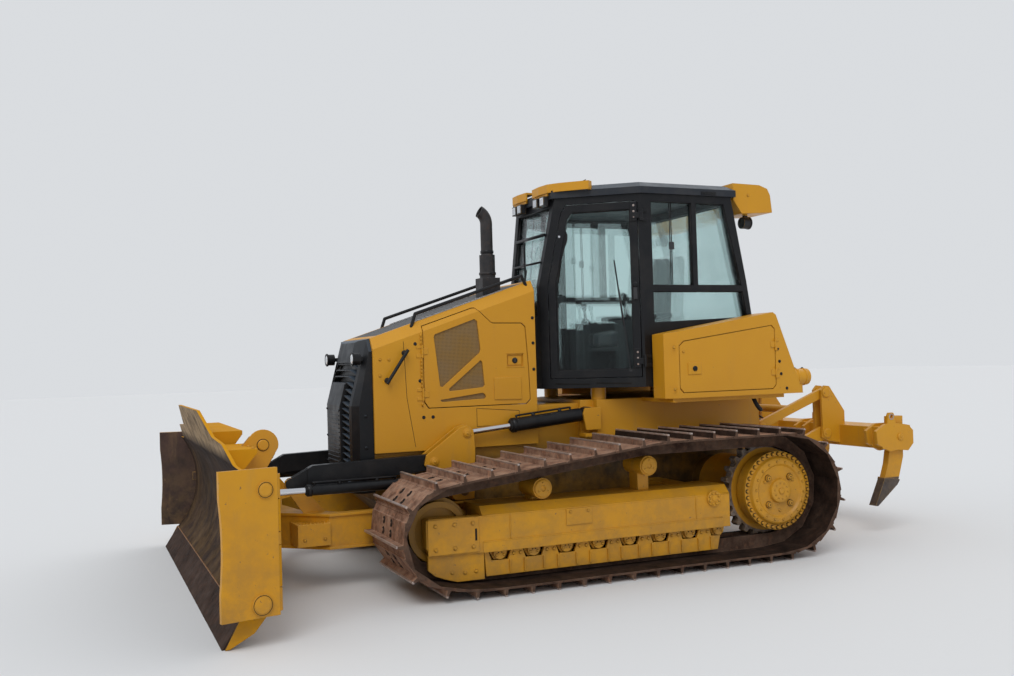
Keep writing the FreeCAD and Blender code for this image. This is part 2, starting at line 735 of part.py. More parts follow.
def make_radiator_guard():
    w = guard_wall
    outer_half = guard_front_half - w
    low = guard_bottom_z + 60
    high = 1575.0
    body = guard_body(0)
    above = [prism_xz([(hood_front_x - 5, guard_top_z + 15), (guard_top_x - 8, guard_top_z),
                       (guard_top_x + 12, guard_top_z - 16),
                       (guard_top_x + 90, guard_top_z - 16), (guard_top_x + 90, 2000),
                       (hood_front_x - 5, 2000)], -600, 600)]
    for side in (-1, 1):
        edge = side * (guard_half_width + 1)
        above.append(prism_yz([(edge, guard_top_z - 85), (edge, 2000),
                               (side * (guard_half_width - 70), 2000),
                               (side * (guard_half_width - 70), guard_top_z + 20)], 1500, 2000))
    body = body.cut(Part.makeCompound(above))
    room = guard_body(w).common(box(hood_front_x + 60, 2000, -outer_half, outer_half, low,
                                    guard_top_z - 60))
    window = [box(hood_front_x + 70, 2000, -outer_half, outer_half, 1425, high)]
    for side in (-1, 1):
        inner = side * (guard_centre_half + 6)
        window.append(box(hood_front_x + 70, 2000, min(inner, side * outer_half),
                          max(inner, side * outer_half), low, high))
    body = body.cut(room).cut(Part.makeCompound(window))
    # slats whose outer halves slope down, a plain panel standing proud between them
    skin = guard_body(8).cut(guard_body(62)).common(box(1600, 2000, -outer_half - 3, outer_half + 3,
                                                        low - 5, high + 5))
    slats = []
    z = low + 35
    while z < high:
        for side in (-1, 1):
            ends = [(side * (guard_centre_half - 20), z), (side * guard_centre_half, z),
                    (side * (outer_half + 4), z - 42)]
            outline = ends + [(y, up + 8) for y, up in reversed(ends)]
            slats.append(prism_yz(outline, 1600, 2000).common(skin))
        if z > 1425:
            slats.append(box(1600, 2000, -guard_centre_half + 19, guard_centre_half - 19, z,
                             z + 8).common(skin))
        z += louvre_pitch
    panel = guard_body(-6).cut(guard_body(30)).common(box(1600, 2000, -guard_centre_half - 7,
                                                          guard_centre_half + 7, low + 130, 1415))
    frame_mount = box(frame_nose_x + seat_gap, guard_front_x - 60, -outer_half, outer_half, guard_bottom_z,
                      guard_bottom_z + 60)
    keep("radiator_guard", fuse([body, frame_mount, panel] + slats))


def make_head_lamps():
    lamps = []
    for side in (-1, 1):
        y = side * 400
        body = rod((1722, y, 1600), (1778, y, 1600), 44)
        rim = rod((1772, y, 1600), (1784, y, 1600), 48).cut(rod((1776, y, 1600), (1790, y, 1600), 40))
        stay = box(1690, 1735, min(side * 372, side * 400), max(side * 372, side * 400), 1585, 1615)
        lamps.append(fuse([body, rim, stay]))
    guard = parts["radiator_guard"]
    keep("head_lamps", Part.makeCompound([lamp.cut(guard) for lamp in lamps]))


def make_exhaust():
    x, y = 600.0, 170.0
    base_z = hood_top(x) + seat_gap
    foot = box(x - 75, x + 75, y - 75, y + 75, 2000, 2400).common(
        loft_yz([(x - 80, [(y - 80, hood_top(x - 80) + seat_gap), (y + 80, hood_top(x - 80) + seat_gap),
                           (y + 80, 2215), (y - 80, 2215)]),
                 (x + 80, [(y - 80, hood_top(x + 80) + seat_gap), (y + 80, hood_top(x + 80) + seat_gap),
                           (y + 80, 2215), (y - 80, 2215)])]))
    muffler = upright_pin(x, y, base_z + 50, 2400, 62)
    pipe = upright_pin(x, y, 2390, 2650, 48)
    bend_centre = V(x + 110, y, 2650)
    disc = Part.Face(Part.Wire(Part.makeCircle(48, V(x, y, 2650), V(0, 0, 1))))
    bend = disc.revolve(bend_centre, V(0, 1, 0), 62)
    inner_disc = Part.Face(Part.Wire(Part.makeCircle(42, V(x, y, 2650), V(0, 0, 1))))
    bore = inner_disc.revolve(bend_centre, V(0, 1, 0), 62)
    keep("exhaust_stack", fuse([foot, muffler, pipe, bend]).cut(bore))


def make_hand_rails():
    rails = []
    for side in (-1, 1):
        y = side * (hood_half_width - hood_bevel_in + 10)
        front, rear = 1290.0, 370.0
        lift = 62.0
        points = [V(front + 40, y, hood_top(front + 40) - 40), V(front, y, hood_top(front) + lift),
                  V(rear + 40, y, hood_top(rear + 40) + lift), V(rear, y, hood_top(rear) - 40)]
        pieces = [rod(points[i], points[i + 1], 13) for i in range(3)]
        pieces += [Part.makeSphere(13, points[1]), Part.makeSphere(13, points[2])]
        rails.append(fuse(pieces))
    above = loft_yz([(x, [(-500, hood_top(x) - hood_bevel_drop * 2), (-hood_half_width, hood_side_top(x)),
                          (-hood_half_width + hood_bevel_in, hood_top(x)),
                          (hood_half_width - hood_bevel_in, hood_top(x)),
                          (hood_half_width, hood_side_top(x)), (500, hood_top(x) - hood_bevel_drop * 2),
                          (500, 2700), (-500, 2700)])
                     for x in (hood_rear_x, hood_front_x)])
    above.translate(V(0, 0, seat_gap))
    keep("hand_rails", Part.makeCompound(rails).common(above))


def cab_plan(grow=0.0, front_x=cab_front_x, rear_x=cab_rear_x):
    # plan of the cab: narrow windscreen, raked doors in one upright plane, parallel rear sides
    run = cab_front_x - cab_hinge_x
    rise = cab_half_width - cab_front_half
    length = hypot(run, rise)
    # the door plane moved outwards by grow, and where it meets the screen and the side
    shift = grow * length / run
    nose_y = cab_front_half + (cab_front_x - front_x - grow) * rise / run + shift
    side_y = cab_half_width + grow
    hinge_x = cab_hinge_x + (shift - grow) * run / rise
    half = [(front_x + grow, nose_y), (hinge_x, side_y), (rear_x - grow, cab_rear_half + grow)]
    return half + [(x, -y) for x, y in reversed(half)]


def cab_solid(grow, z0, z1):
    # the screen leans back above the hood, the rear wall leans forward above the fenders
    levels = [(z0, cab_front_x, cab_rear_x), (1750.0, cab_front_x, cab_rear_x),
              (2150.0, cab_front_x, cab_rear_x + 60), (z1, cab_front_x - 115, cab_rear_top_x)]
    solid = None
    for (low, front, rear), (high, next_front, next_rear) in zip(levels[:-1], levels[1:]):
        wires = []
        for z, x0, x1 in ((low, front, rear), (high, next_front, next_rear)):
            outline = [V(x, y, z) for x, y in cab_plan(grow, x0, x1)]
            wires.append(Part.makePolygon(outline + [outline[0]]))
        layer = Part.makeLoft(wires, True, True)
        solid = layer if solid is None else solid.fuse(layer)
    return solid.removeSplitter()


def door_prism(rear, front, z0, z1, thickness, outside):
    # upright slab whose outer face stands off the line from its rear to its front end
    dx, dy = front[0] - rear[0], front[1] - rear[1]
    length = hypot(dx, dy)
    nx, ny = -dy / length, dx / length
    a = (rear[0] + nx * outside, rear[1] + ny * outside)
    b = (front[0] + nx * outside, front[1] + ny * outside)
    c = (b[0] - nx * thickness, b[1] - ny * thickness)
    d = (a[0] - nx * thickness, a[1] - ny * thickness)
    return prism_xy([a, b, c, d], z0, z1)


def door_panel(points, thickness, outside):
    # slab in the plane of the left door: points are the distance back from the A-post's corner, and Z
    run = cab_front_x - cab_hinge_x
    rise = cab_half_width - cab_front_half
    length = hypot(run, rise)
    ux, uy = -run / length, rise / length
    nx, ny = uy, -ux
    corner = [V(cab_front_x + ux * s + nx * outside, cab_front_half + uy * s + ny * outside, z)
              for s, z in points]
    return face(corner).extrude(V(-nx * thickness, -ny * thickness, 0))


def door_points(inset, front=76.0, rear=802.0, low=1401.0, high=cab_roof_under_z - 61):
    # outline of the cab door: upright below the hood's line, then leaning back with the A-post
    lean = 0.213
    knee = 2150.0
    f, r, z0, z1 = front + inset, rear - inset, low + inset, high - inset
    return [(f, z0), (f, knee + inset * 0.1), (f + (z1 - 60 - knee) * lean, z1 - 60),
            (f + (z1 - knee) * lean + 30, z1), (r, z1), (r, z0)]


def make_cab():
    wall = cab_wall
    outer = cab_solid(0, cab_floor_z, cab_roof_under_z)
    inner = cab_solid(-wall, cab_floor_z + wall, cab_roof_under_z + 1)
    shell = outer.cut(inner)
    cut = door_panel(door_points(-door_gap), wall * 3, wall)
    shell = shell.cut(Part.makeCompound([cut, mirrored(cut)]))
    g = seat_gap
    top = cab_roof_under_z - 60
    # windows as X, Z or Y, Z outlines; each pane fills its hole
    screen = [(-cab_front_half + 52, 1900), (cab_front_half - 52, 1900), (cab_front_half - 52, 2160),
              (cab_front_half + 22, top),
              (-cab_front_half - 22, top), (-cab_front_half + 52, 2160)]
    rear_pane = [(-690, 1810), (690, 1810), (670, top), (-670, top)]
    low_pane = [(-545, 1815), (cab_rear_x + 62, 1850), (cab_rear_x + 100, 2066), (-545, 2066)]
    front_pane = [(-545, 2112), (-925, 2112), (-925, top), (-545, top)]
    back_pane = [(-968, 2112), (cab_rear_x + 108, 2112), (cab_rear_x + 118, 2160),
                 (cab_rear_top_x + 72, top), (-968, top)]
    glass_skin = cab_solid(-22, cab_floor_z + 30, cab_roof_under_z - 10).cut(
        cab_solid(-34, cab_floor_z + 20, cab_roof_under_z - 5))
    holes = [prism_yz(screen, -200, 400), prism_yz(rear_pane, cab_rear_x - 200, cab_rear_top_x + 200)]
    middle_block = box(-2000, 0, -cab_half_width + 200, cab_half_width - 200, 1000, 3000)
    for pane in (low_pane, front_pane, back_pane):
        holes.append(prism_xz(pane, -cab_half_width - 60, cab_half_width + 60).cut(middle_block))
    panes = []
    for hole in holes:
        filled = glass_skin.common(hole)
        panes += filled.Solids
    shell = shell.cut(Part.makeCompound(holes))
    keep("cab_glass", Part.makeCompound([pane for pane in panes if pane.Volume > 1e5]))
    roof = prism_xy(cab_plan(20, roof_front_x, cab_rear_top_x - 20), cab_roof_under_z + g, cab_roof_z - 42)
    rims = []
    for z, grow in ((cab_roof_z - 43, 20), (cab_roof_z, -45)):
        outline = [V(x, y, z) for x, y in cab_plan(grow, roof_front_x, cab_rear_top_x - 20)]
        rims.append(Part.makePolygon(outline + [outline[0]]))
    keep("cab_roof", fuse([roof, Part.makeLoft(rims, True, True)]))
    # doors
    frame_outer = door_panel(door_points(0), door_thickness, 4)
    pane_hole = door_panel(door_points(58), door_thickness * 4, 60)
    run = cab_front_x - cab_hinge_x
    rise = cab_half_width - cab_front_half
    length = hypot(run, rise)
    hinge_x = cab_front_x - run * (length - 8) / length
    hinge_y = cab_front_half + rise * (length - 8) / length + 22
    heights = (1500, 2640)
    moving, fixed, bores = hinge_leaves(hinge_x, hinge_y, heights, 15, 7, None,
                                        (hinge_x - 60, hinge_x, hinge_y - 34, hinge_y - 4))
    leaf_front = (hinge_x + run * 90 / length, hinge_y - rise * 90 / length)
    leaves = [door_prism((hinge_x, hinge_y), leaf_front, z, z + hinge_knuckle, 17, 2) for z in heights]
    door = fuse([frame_outer.cut(pane_hole)] + moving + leaves).cut(bores)
    shell = fuse([shell] + fixed + [mirrored(piece) for piece in fixed])
    keep("cab_shell", shell)
    keep_pair("cab_door", door)
    keep_pair("cab_door_glass", door_panel(door_points(58 + g), 10, -18))


def make_roof_pods():
    # a curved visor over two lamps at each front corner, and a box with a lamp under it at each rear corner
    room = Part.makeCompound([prism_xy(cab_plan(20 + seat_gap, roof_front_x, cab_rear_top_x - 20),
                                       cab_roof_under_z - 90, cab_roof_z - 30),
                              prism_xy(cab_plan(-42, roof_front_x, cab_rear_top_x - 20), cab_roof_z - 60,
                                       cab_roof_z + 300)])
    clear = room.fuse(parts["cab_roof"])
    left = []
    front = roof_front_x + 20
    plan = [(front + 22, 60), (front + 34, 210), (front + 22, 345), (front - 40, 440), (front - 215, 612),
            (front - 262, 575), (front - 150, 440), (front - 90, 330), (front - 60, 60)]
    visor = prism_xy(plan, cab_roof_z - 44, cab_roof_z + 24)
    hollow = prism_xy([(x - 12, y) for x, y in plan[:3]] + [(front - 52, 430), (front - 200, 585),
                                                            (front - 300, 560), (front - 300, 60)],
                      cab_roof_z - 60, cab_roof_z + 8)
    tab = box(front + seat_gap, front + 16, 80, 330, cab_roof_z - 70, cab_roof_z + 4)
    lamps = [box(front + 1, front + 46, 120, 200, cab_roof_z - 142, cab_roof_z - 66),
             box(front + 1, front + 40, 240, 318, cab_roof_z - 142, cab_roof_z - 66)]
    left.append(fuse([visor.cut(hollow), tab] + lamps))
    rear = cab_rear_top_x - 40
    pod = prism_xz([(rear - 4, cab_roof_z - 110), (rear - 2, cab_roof_z + 26),
                    (rear - 265, cab_roof_z + 20), (rear - 345, cab_roof_z - 8),
                    (rear - 372, cab_roof_z - 60), (rear - 388, cab_roof_z - 205),
                    (rear - 84, cab_roof_z - 222)], 430, 760)
    stay = box(rear - 205, rear - 175, 640, 670, cab_roof_z - 262, cab_roof_z - 200)
    lamp = rod((rear - 215, 655, cab_roof_z - 285), (rear - 150, 655, cab_roof_z - 285), 48)
    lug = box(rear - 5, rear + 20 - seat_gap, 470, 720, cab_roof_z - 90, cab_roof_z - 50)
    left.append(fuse([pod, stay, lamp, lug]))
    both = []
    for piece in left:
        piece = piece.cut(clear).cut(parts["cab_shell"])
        solid = max(piece.Solids, key=lambda one: one.Volume)
        both += [solid, mirrored(solid)]
    keep("roof_pods", Part.makeCompound(both))


def make_interior():
    floor = cab_floor_z + cab_wall + seat_gap
    pedestal = box(-980, -560, -200, 200, floor, floor + 260)
    cushion = box(-1000, -500, -260, 260, floor + 260, floor + 390)
    back = prism_xz([(-1010, floor + 380), (-890, floor + 380), (-960, floor + 1020),
                     (-1060, floor + 1020)], -240, 240)
    keep("seat", fuse([pedestal, cushion, back]))
    dash = prism_xz([(60, floor), (130, floor), (130, floor + 620), (-60, floor + 700), (-60, floor + 640),
                     (60, floor + 560)],
                    -190, 190)
    pods = [box(-900, -480, side * 360 - 80, side * 360 + 80, floor, floor + 480) for side in (-1, 1)]
    keep("console", Part.makeCompound([dash] + pods))


def fender_outline(gap):
    return [(fender_front_x - gap, fender_bottom_z + gap), (fender_front_x - gap, fender_top_front_z - gap),
            (fender_front_x - 40, fender_top_front_z + 8 - gap), (-1485, fender_top_rear_z - gap),
            (-1515, fender_top_rear_z - 20 - gap), (fender_rear_x + gap, fender_bottom_z + gap)]


def fender_door_outline(gap):
    return [(-600 - gap, 1300 + gap), (-630 - gap, 1268 + gap), (-1470 + gap, 1268 + gap),
            (-1500 + gap, 1300 + gap),
            (-1500 + gap, 1750 - gap), (-1470 + gap, 1778 - gap), (-640 - gap, 1668 - gap),
            (-600 - gap, 1632 - gap)]


def make_fenders():
    body = prism_xz(fender_outline(0), fender_inner_y, fender_outer_y)
    # the front corner is turned back and the top edge bevelled
    body = body.cut(prism_xy([(fender_front_x + 5, fender_outer_y - 78),
                              (fender_front_x + 5, fender_outer_y + 5),
                              (fender_front_x - 83, fender_outer_y + 5)], 1000, 2000))
    recess = prism_xz(fender_door_outline(0), fender_outer_y - 32, fender_outer_y + 5)
    foot = box(-1600, -560, case_half_width + seat_gap, fender_outer_y - 40, fender_bottom_z - 30,
               fender_bottom_z + 1)
    hx, hy = fender_hinge
    moving, fixed, bores = hinge_leaves(hx, hy, (1380, 1600), 7, 4, (hx, hx + 42, hy - 8, hy - 2),
                                        (hx - 34, hx, hy - 7.5, hy - 2))
    lamp = rod((fender_rear_x - 85, 985, 1355), (fender_rear_x + 60, 985, 1355), 66)
    lamp_post = box(fender_rear_x - 20, fender_rear_x + 40, 950, 1020, 1240, 1330)
    keep_pair("fender", fuse([body.cut(recess), foot, lamp, lamp_post] + fixed))
    door = prism_xz(fender_door_outline(door_gap), fender_outer_y - 26, fender_outer_y - 1)
    keep_pair("fender_door", fuse([door] + moving).cut(bores))


def make_c_frame():
    px, pz = c_frame_pivot
    nose_rear = nose_x - 92
    plan_outer = [(px - 70, arm_outer_y), (2040, arm_outer_y), (2330, 420), (nose_rear, 130),
                  (nose_rear, -130), (2330, -420), (2040, -arm_outer_y), (px - 70, -arm_outer_y)]
    plan_inner = [(px - 120, arm_inner_y), (1960, arm_inner_y), (2180, 330), (2240, 0), (2180, -330),
                  (1960, -arm_inner_y), (px - 120, -arm_inner_y)]
    inner_block = prism_xy(plan_inner, arm_bottom_z - 5, arm_top_z + 5)
    web_outer = [(x, y - 14 if y > 0 else y + 14) for x, y in plan_outer]
    pieces = [prism_xy(web_outer, arm_bottom_z, arm_top_z).cut(inner_block)]
    for z0 in (arm_bottom_z, arm_top_z - arm_flange):
        pieces.append(prism_xy(plan_outer, z0, z0 + arm_flange).cut(inner_block))
    pieces.append(upright_pin(nose_x, 0, nose_boss_low, nose_boss_high, nose_boss_radius))
    pieces.append(box(nose_x - 150, nose_x, -60, 60, nose_boss_low, nose_boss_high))
    for side in (-1, 1):
        y0, y1 = min(side * arm_inner_y, side * arm_outer_y), max(side * arm_inner_y, side * arm_outer_y)
        pieces.append(cross_pin(px - 60, pz - 30, y0, y1, 120))
        # step with a toothed tread, in the corner outside the arm
        step = [(2035, side * (arm_outer_y - 30)), (2035, side * arm_outer_y), (2262, side * arm_outer_y),
                (2275, side * (arm_inner_y - 130)), (2180, side * (arm_inner_y - 40))]
        pieces.append(prism_xy(step, 318, 470))
        for tooth in range(9):
            x0 = 2044 + tooth * 24
            t0, t1 = sorted((side * (arm_inner_y + 40), side * (arm_outer_y - 4)))
            pieces.append(prism_xz([(x0, 469), (x0 + 16, 469), (x0 + 8, 481)], t0, t1))
        # bracket for the angle cylinder's head end
        ax, ay = angle_rear_pin
        pieces.append(prism_xz([(ax - 110, arm_top_z - 1), (ax + 90, arm_top_z - 1),
                                (ax + 45, angle_cylinder_z - 48),
                                (ax - 60, angle_cylinder_z - 48)], side * ay - 42, side * ay + 42))
        # upright pin with a ball, so the cylinder may also dip
        pieces.append(upright_pin(ax, side * ay, angle_cylinder_z - 49, angle_cylinder_z + 46,
                                  angle_pin_radius))
        pieces.append(Part.makeSphere(angle_ball_radius, V(ax, side * ay, angle_cylinder_z)))
        # lug between the two cheeks of the lift link's front end
        tx, tz = link_front_pin
        mid = side * (lever_inner_y + lever_outer_y + lever_plate) / 2
        pieces.append(prism_xz([(2035, arm_top_z - 1), (2190, arm_top_z - 1), (tx + 45, tz - 25),
                                (tx + 42, tz + 22),
                                (tx, tz + 44), (tx - 42, tz + 20)], mid - link_lug / 2, mid + link_lug / 2))
    frame = fuse(pieces)
    cuts = [upright_pin(nose_x, 0, arm_bottom_z - 5, nose_boss_high + 5, nose_pin_radius + pin_gap)]
    for side in (-1, 1):
        cuts.append(cross_pin(px, pz, min(side * arm_inner_y, side * arm_outer_y) - 5,
                              max(side * arm_inner_y, side * arm_outer_y) + 5, trunnion_radius + pin_gap))
    keep("c_frame", frame.cut(Part.makeCompound(cuts)))


def make_lift_side():
    lx, lz = lever_link_pin
    px, pz = lever_pivot
    cx, cz = lever_cylinder_pin
    outline = [(px - 75, pz - 60), (px + 70, pz - 65), (lx + 75, lz - 20), (lx + 60, lz + 50),
               (cx + 55, cz + 45),
               (cx - 5, cz + 60), (cx - 50, cz + 20), (cx - 60, cz - 120)]
    plates = [prism_xz(outline, y, y + lever_plate) for y in (lever_inner_y, lever_outer_y)]
    hub = cross_pin(px, pz, lever_inner_y, lever_outer_y + lever_plate, 62)
    web = prism_xz([(px - 40, pz), (px + 30, pz), (px + 60, pz + 150), (px - 30, pz + 250)], lever_inner_y,
                   lever_outer_y + lever_plate)
    caps = [cross_pin(x, z, lever_outer_y + lever_plate - 1, lever_outer_y + lever_plate + 6, 34)
            for x, z in (lever_link_pin, lever_cylinder_pin)]
    caps.append(cross_pin(lx, lz, lever_inner_y, lever_outer_y + lever_plate, 24))
    lever = fuse(plates + [hub, web] + caps)
    lever = lever.cut(cross_pin(px, pz, lever_inner_y - 5, lever_outer_y + lever_plate + 5, 35 + pin_gap))
    keep_pair("lift_lever", lever)
    # box link from the lever forward to the C-frame's lug
    mid = (lever_inner_y + lever_outer_y + lever_plate) / 2
    y0, y1 = mid - link_width / 2, mid + link_width / 2
    tx, tz = link_front_pin
    link = prism_xz([(lx, lz - 55), (lx + 200, lz - 75), (tx - 160, tz - 20), (tx, tz - 42), (tx + 30, tz),
                     (tx, tz + 42),
                     (tx - 150, tz + 120), (lx, lz + 55)], y0, y1)
    link = fuse([link, cross_pin(lx, lz, y0, y1, 55), cross_pin(tx, tz, y0, y1, 42)])
    link = link.cut(cross_pin(lx, lz, y0 - 5, y1 + 5, 24 + pin_gap))
    slot_half = link_lug / 2 + side_gap + 1
    link = link.cut(box(tx - 120, tx + 60, mid - slot_half, mid + slot_half, tz - 200, tz + 200))
    cheek = slot_half + 9
    for a, b in ((mid - link_width, mid - cheek), (mid + cheek, mid + link_width)):
        link = link.cut(box(tx - 110, tx + 60, a, b, tz - 200, tz + 200))
    keep_pair("lift_link", link)
    bx, bz = lift_barrel_pin
    ux, uz = cx - bx, cz - bz
    length = hypot(ux, uz)
    ux, uz = ux / length, uz / length
    eye = cross_pin(bx, bz, lever_inner_y + lever_plate + side_gap, lever_outer_y - side_gap, 55)
    start = (bx + ux * 60, mid, bz + uz * 60)
    end = (bx + ux * lift_barrel_length, mid, bz + uz * lift_barrel_length)
    tube = rod(start, end, lift_barrel_radius)
    neck = rod((bx, mid, bz), start, 34)
    tube = fuse([tube, neck, eye])
    bore = rod((bx + ux * 90, mid, bz + uz * 90),
               (bx + ux * (lift_barrel_length + 5), mid, bz + uz * (lift_barrel_length + 5)),
               lift_rod_radius + pin_gap)
    tube = tube.cut(bore).cut(cross_pin(bx, bz, lever_inner_y, lever_outer_y + lever_plate, 28 + pin_gap))
    keep_pair("lift_barrel", tube)
    rod_start = (bx + ux * 300, mid, bz + uz * 300)
    eye_half = (lever_outer_y - lever_inner_y - lever_plate) / 2 - side_gap
    rod_shape = fuse([rod(rod_start, (cx, mid, cz), lift_rod_radius),
                      cross_pin(cx, cz, mid - eye_half, mid + eye_half, 40)])
    keep_pair("lift_rod", rod_shape)


def make_blade():
    # X, Z of the moldboard's front face from the edge's joint to the top
    low = V(edge_top_x, 0, edge_top_z)
    deep = V(moldboard_deep[0], 0, moldboard_deep[1])
    knee = V(moldboard_knee[0], 0, moldboard_knee[1])
    top = V(moldboard_top[0], 0, moldboard_top[1])
    plate = moldboard_plate

    def shifted(point):
        return point + V(-plate, 0, 0)

    arc = Part.Arc(low, deep, knee).toShape()
    back_arc = Part.Arc(shifted(knee), shifted(deep), shifted(low)).toShape()
    edges = [arc, Part.makeLine(knee, top), Part.makeLine(top, shifted(top)),
             Part.makeLine(shifted(top), shifted(knee)),
             back_arc, Part.makeLine(shifted(low), low)]
    profile = Part.Face(Part.Wire(edges))
    profile.translate(V(0, -blade_half_width, 0))
    sheet = profile.extrude(V(0, 2 * blade_half_width, 0))
    # Y, Z of the top outline, left half
    crown = [(620, 1400), (620, 1285), (890, 1120), (1300, 1100), (1470, 975), (blade_half_width + 10, 960),
             (blade_half_width + 10, 1400)]
    for side in (-1, 1):
        sheet = sheet.cut(prism_yz([(side * y, z) for y, z in crown], 2400, 3100))
    ends = []
    wedge = [(edge_tip_x - 16, 4), (edge_top_x + 6, edge_top_z - 2), (2670, 212), (2655, 196), (2752, 78),
             (2890, 4)]
    end_outline = [(edge_top_x - plate, edge_top_z + 20), (2700, 330), (moldboard_deep[0] - 4, 500),
                   (moldboard_deep[0] - 4, 640),
                   (2720, 900), (2740, 955), (wing_hinge_x - 30, 950), (wing_hinge_x - 30, 200),
                   (2700, 150)]
    back = []
    for side in (-1, 1):
        y0 = min(side * blade_half_width, side * (blade_half_width - 30))
        ends.append(prism_xz(end_outline, y0, y0 + 30))
        y0 = side * (blade_half_width + 2) if side > 0 else side * (blade_half_width + 2) - 20
        ends.append(prism_xz(wedge, y0, y0 + 20))
        ends.append(box(2700, 2760, min(side * (blade_half_width - 5), side * (blade_half_width + 10)),
                        max(side * (blade_half_width - 5), side * (blade_half_width + 10)), 178, 205))
    # horizontal ribs and box behind the moldboard
    box_outline = [(2700, 310), (2690, 330), (moldboard_deep[0] - 10, 480), (moldboard_deep[0] - 10, 660),
                   (2680, 760),
                   (blade_back_x + 30, 760), (blade_back_x, 720), (blade_back_x, 340),
                   (blade_back_x + 30, 310)]
    back.append(prism_xz(box_outline, -1450, 1450))
    shelf = prism_xz([(2770, 985), (2830, 1135), (2605, 1135), (2605, 1110), (2700, 985)], -600, 600)
    side_shelf = [prism_xz([(2740, 900), (2790, 1050), (2595, 1050), (2595, 1025), (2700, 900)],
                           min(side * 640, side * 1150), max(side * 640, side * 1150)) for side in (-1, 1)]
    lower_rib = prism_xz([(edge_top_x - plate, edge_top_z + 5), (2720, 300), (2640, 320), (2640, 290),
                          (2740, 178)],
                         -1600, 1600)
    # bracket that holds the tilt cylinder's rod eye, with a triangular gusset outside it
    ears = [prism_xz([(2690, 770), (2730, 960), (2600, 1110), (2440, 1100), (2436, 990), (2590, 740)], 852,
                     874)]
    for x in (tilt_x - tilt_eye_half - side_gap - 18, tilt_x + tilt_eye_half + side_gap):
        ears.append(prism_yz([(748, 985), (853, 985), (853, 1085), (780, 1085), (748, 1060)], x, x + 18))
    ears.append(box(tilt_x - 40, 2700, 857, 873, 960, 1040))
    ears.append(prism_xz([(2690, 770), (2730, 960), (2600, 1100), (2480, 1080), (2590, 740)],
                         -tilt_eye_y - 74, -tilt_eye_y - 52))
    # flanged plates above and below the angle cylinders' rod eyes
    ax, ay = angle_front_pin
    for side in (-1, 1):
        reach = angle_eye_half + angle_plate_gap
        for z0, below, above in ((angle_cylinder_z - reach - angle_plate, 6, 0),
                                 (angle_cylinder_z + reach, 0, 8)):
            ears.append(prism_xy([(2660, side * (ay - 28)), (ax - 12, side * (ay - 28)),
                                  (ax - 34, side * (ay - 6)),
                                  (ax - 38, side * (ay + 40)), (ax - 15, side * (ay + 75)),
                                  (2660, side * (ay + 90))],
                                 z0, z0 + angle_plate))
            ears.append(upright_pin(ax, side * (ay + 4), z0 - below, z0 + angle_plate + above, 22))
    # socket behind the moldboard, that turns on the yoke's roll pin
    socket = upright_disc(2572, 2600, roll_z, 105)
    hinge = []
    for side in (-1, 1):
        y = side * (blade_half_width + 34)
        for z0, z1 in ((330, 560), (640, 820)):
            knuckle = upright_pin(wing_hinge_x, y, z0, z1, 26)
            tab = box(wing_hinge_x - 20, wing_hinge_x + 20, min(side * (blade_half_width - 1), y),
                      max(side * (blade_half_width - 1), y), z0, z1)
            hinge += [knuckle, tab]
    blade = fuse([sheet] + ends + back + [shelf, lower_rib, socket] + side_shelf + ears + hinge)
    carve = Part.Face(Part.Wire([Part.Arc(low, deep, knee).toShape(), Part.makeLine(knee, top),
                                 Part.makeLine(top, V(3300, 0, 1285)),
                                 Part.makeLine(V(3300, 0, 1285), V(3300, 0, edge_top_z)),
                                 Part.makeLine(V(3300, 0, edge_top_z), low)]))
    carve.translate(V(0, -2000, 0))
    blade = blade.cut(carve.extrude(V(0, 4000, 0)))
    pivot = rod((2400, 0, roll_z), (roll_pin_front_x + 5, 0, roll_z), roll_pin_radius + pin_gap)
    pins = [upright_pin(wing_hinge_x, side * (blade_half_width + 34), 0, 1200, 14 + pin_gap)
            for side in (-1, 1)]
    blade = blade.cut(pivot).cut(Part.makeCompound(pins))
    keep("blade", blade)
    slope = hypot(edge_tip_x - edge_top_x, edge_top_z)
    nx, nz = -edge_top_z / slope * edge_thickness, -(edge_tip_x - edge_top_x) / slope * edge_thickness
    edge = prism_xz([(edge_tip_x, 0), (edge_top_x + 1, edge_top_z - seat_gap),
                     (edge_top_x + nx, edge_top_z - seat_gap),
                     (edge_tip_x + nx * 2, 0)], -blade_half_width, blade_half_width)
    keep("cutting_edge", edge)


def make_wings():
    y = blade_half_width + 34
    plate = box(wing_hinge_x, wing_hinge_x + wing_length, y + 4, y + 4 + wing_plate, wing_bottom_z,
                wing_top_z)
    # front edge hollowed like the moldboard
    middle_z = (wing_bottom_z + wing_top_z) / 2
    hollow = cross_pin(wing_hinge_x + wing_length + 2400 - 14, middle_z, y - 50, y + 150, 2400)
    plate = plate.cut(hollow)
    rooms = [upright_pin(wing_hinge_x, y, z0 - 6, z1 + 6, 26 + 4) for z0, z1 in ((330, 560), (640, 820))]
    plate = plate.cut(Part.makeCompound(rooms))
    knuckles = []
    for z0, z1 in ((wing_bottom_z + 20, 324), (566, 634), (826, wing_top_z - 40)):
        knuckles.append(upright_pin(wing_hinge_x, y, z0, z1, 26))
        knuckles.append(box(wing_hinge_x, wing_hinge_x + 60, y - 10, y + 20, z0, z1))
    pin = upright_pin(wing_hinge_x, y, wing_bottom_z + 10, wing_top_z - 30, 14)
    discs = [cross_pin(wing_hinge_x + dx, z, y + 4 + wing_plate - 1, y + 4 + wing_plate + 10, r)
             for dx, z, r in ((75, 880, 46), (105, 245, 60))]
    wing = fuse([plate] + knuckles + [pin] + discs)
    wing.rotate(V(wing_hinge_x, y, 0), V(0, 0, 1), wing_splay)
    keep_pair("wing", wing)


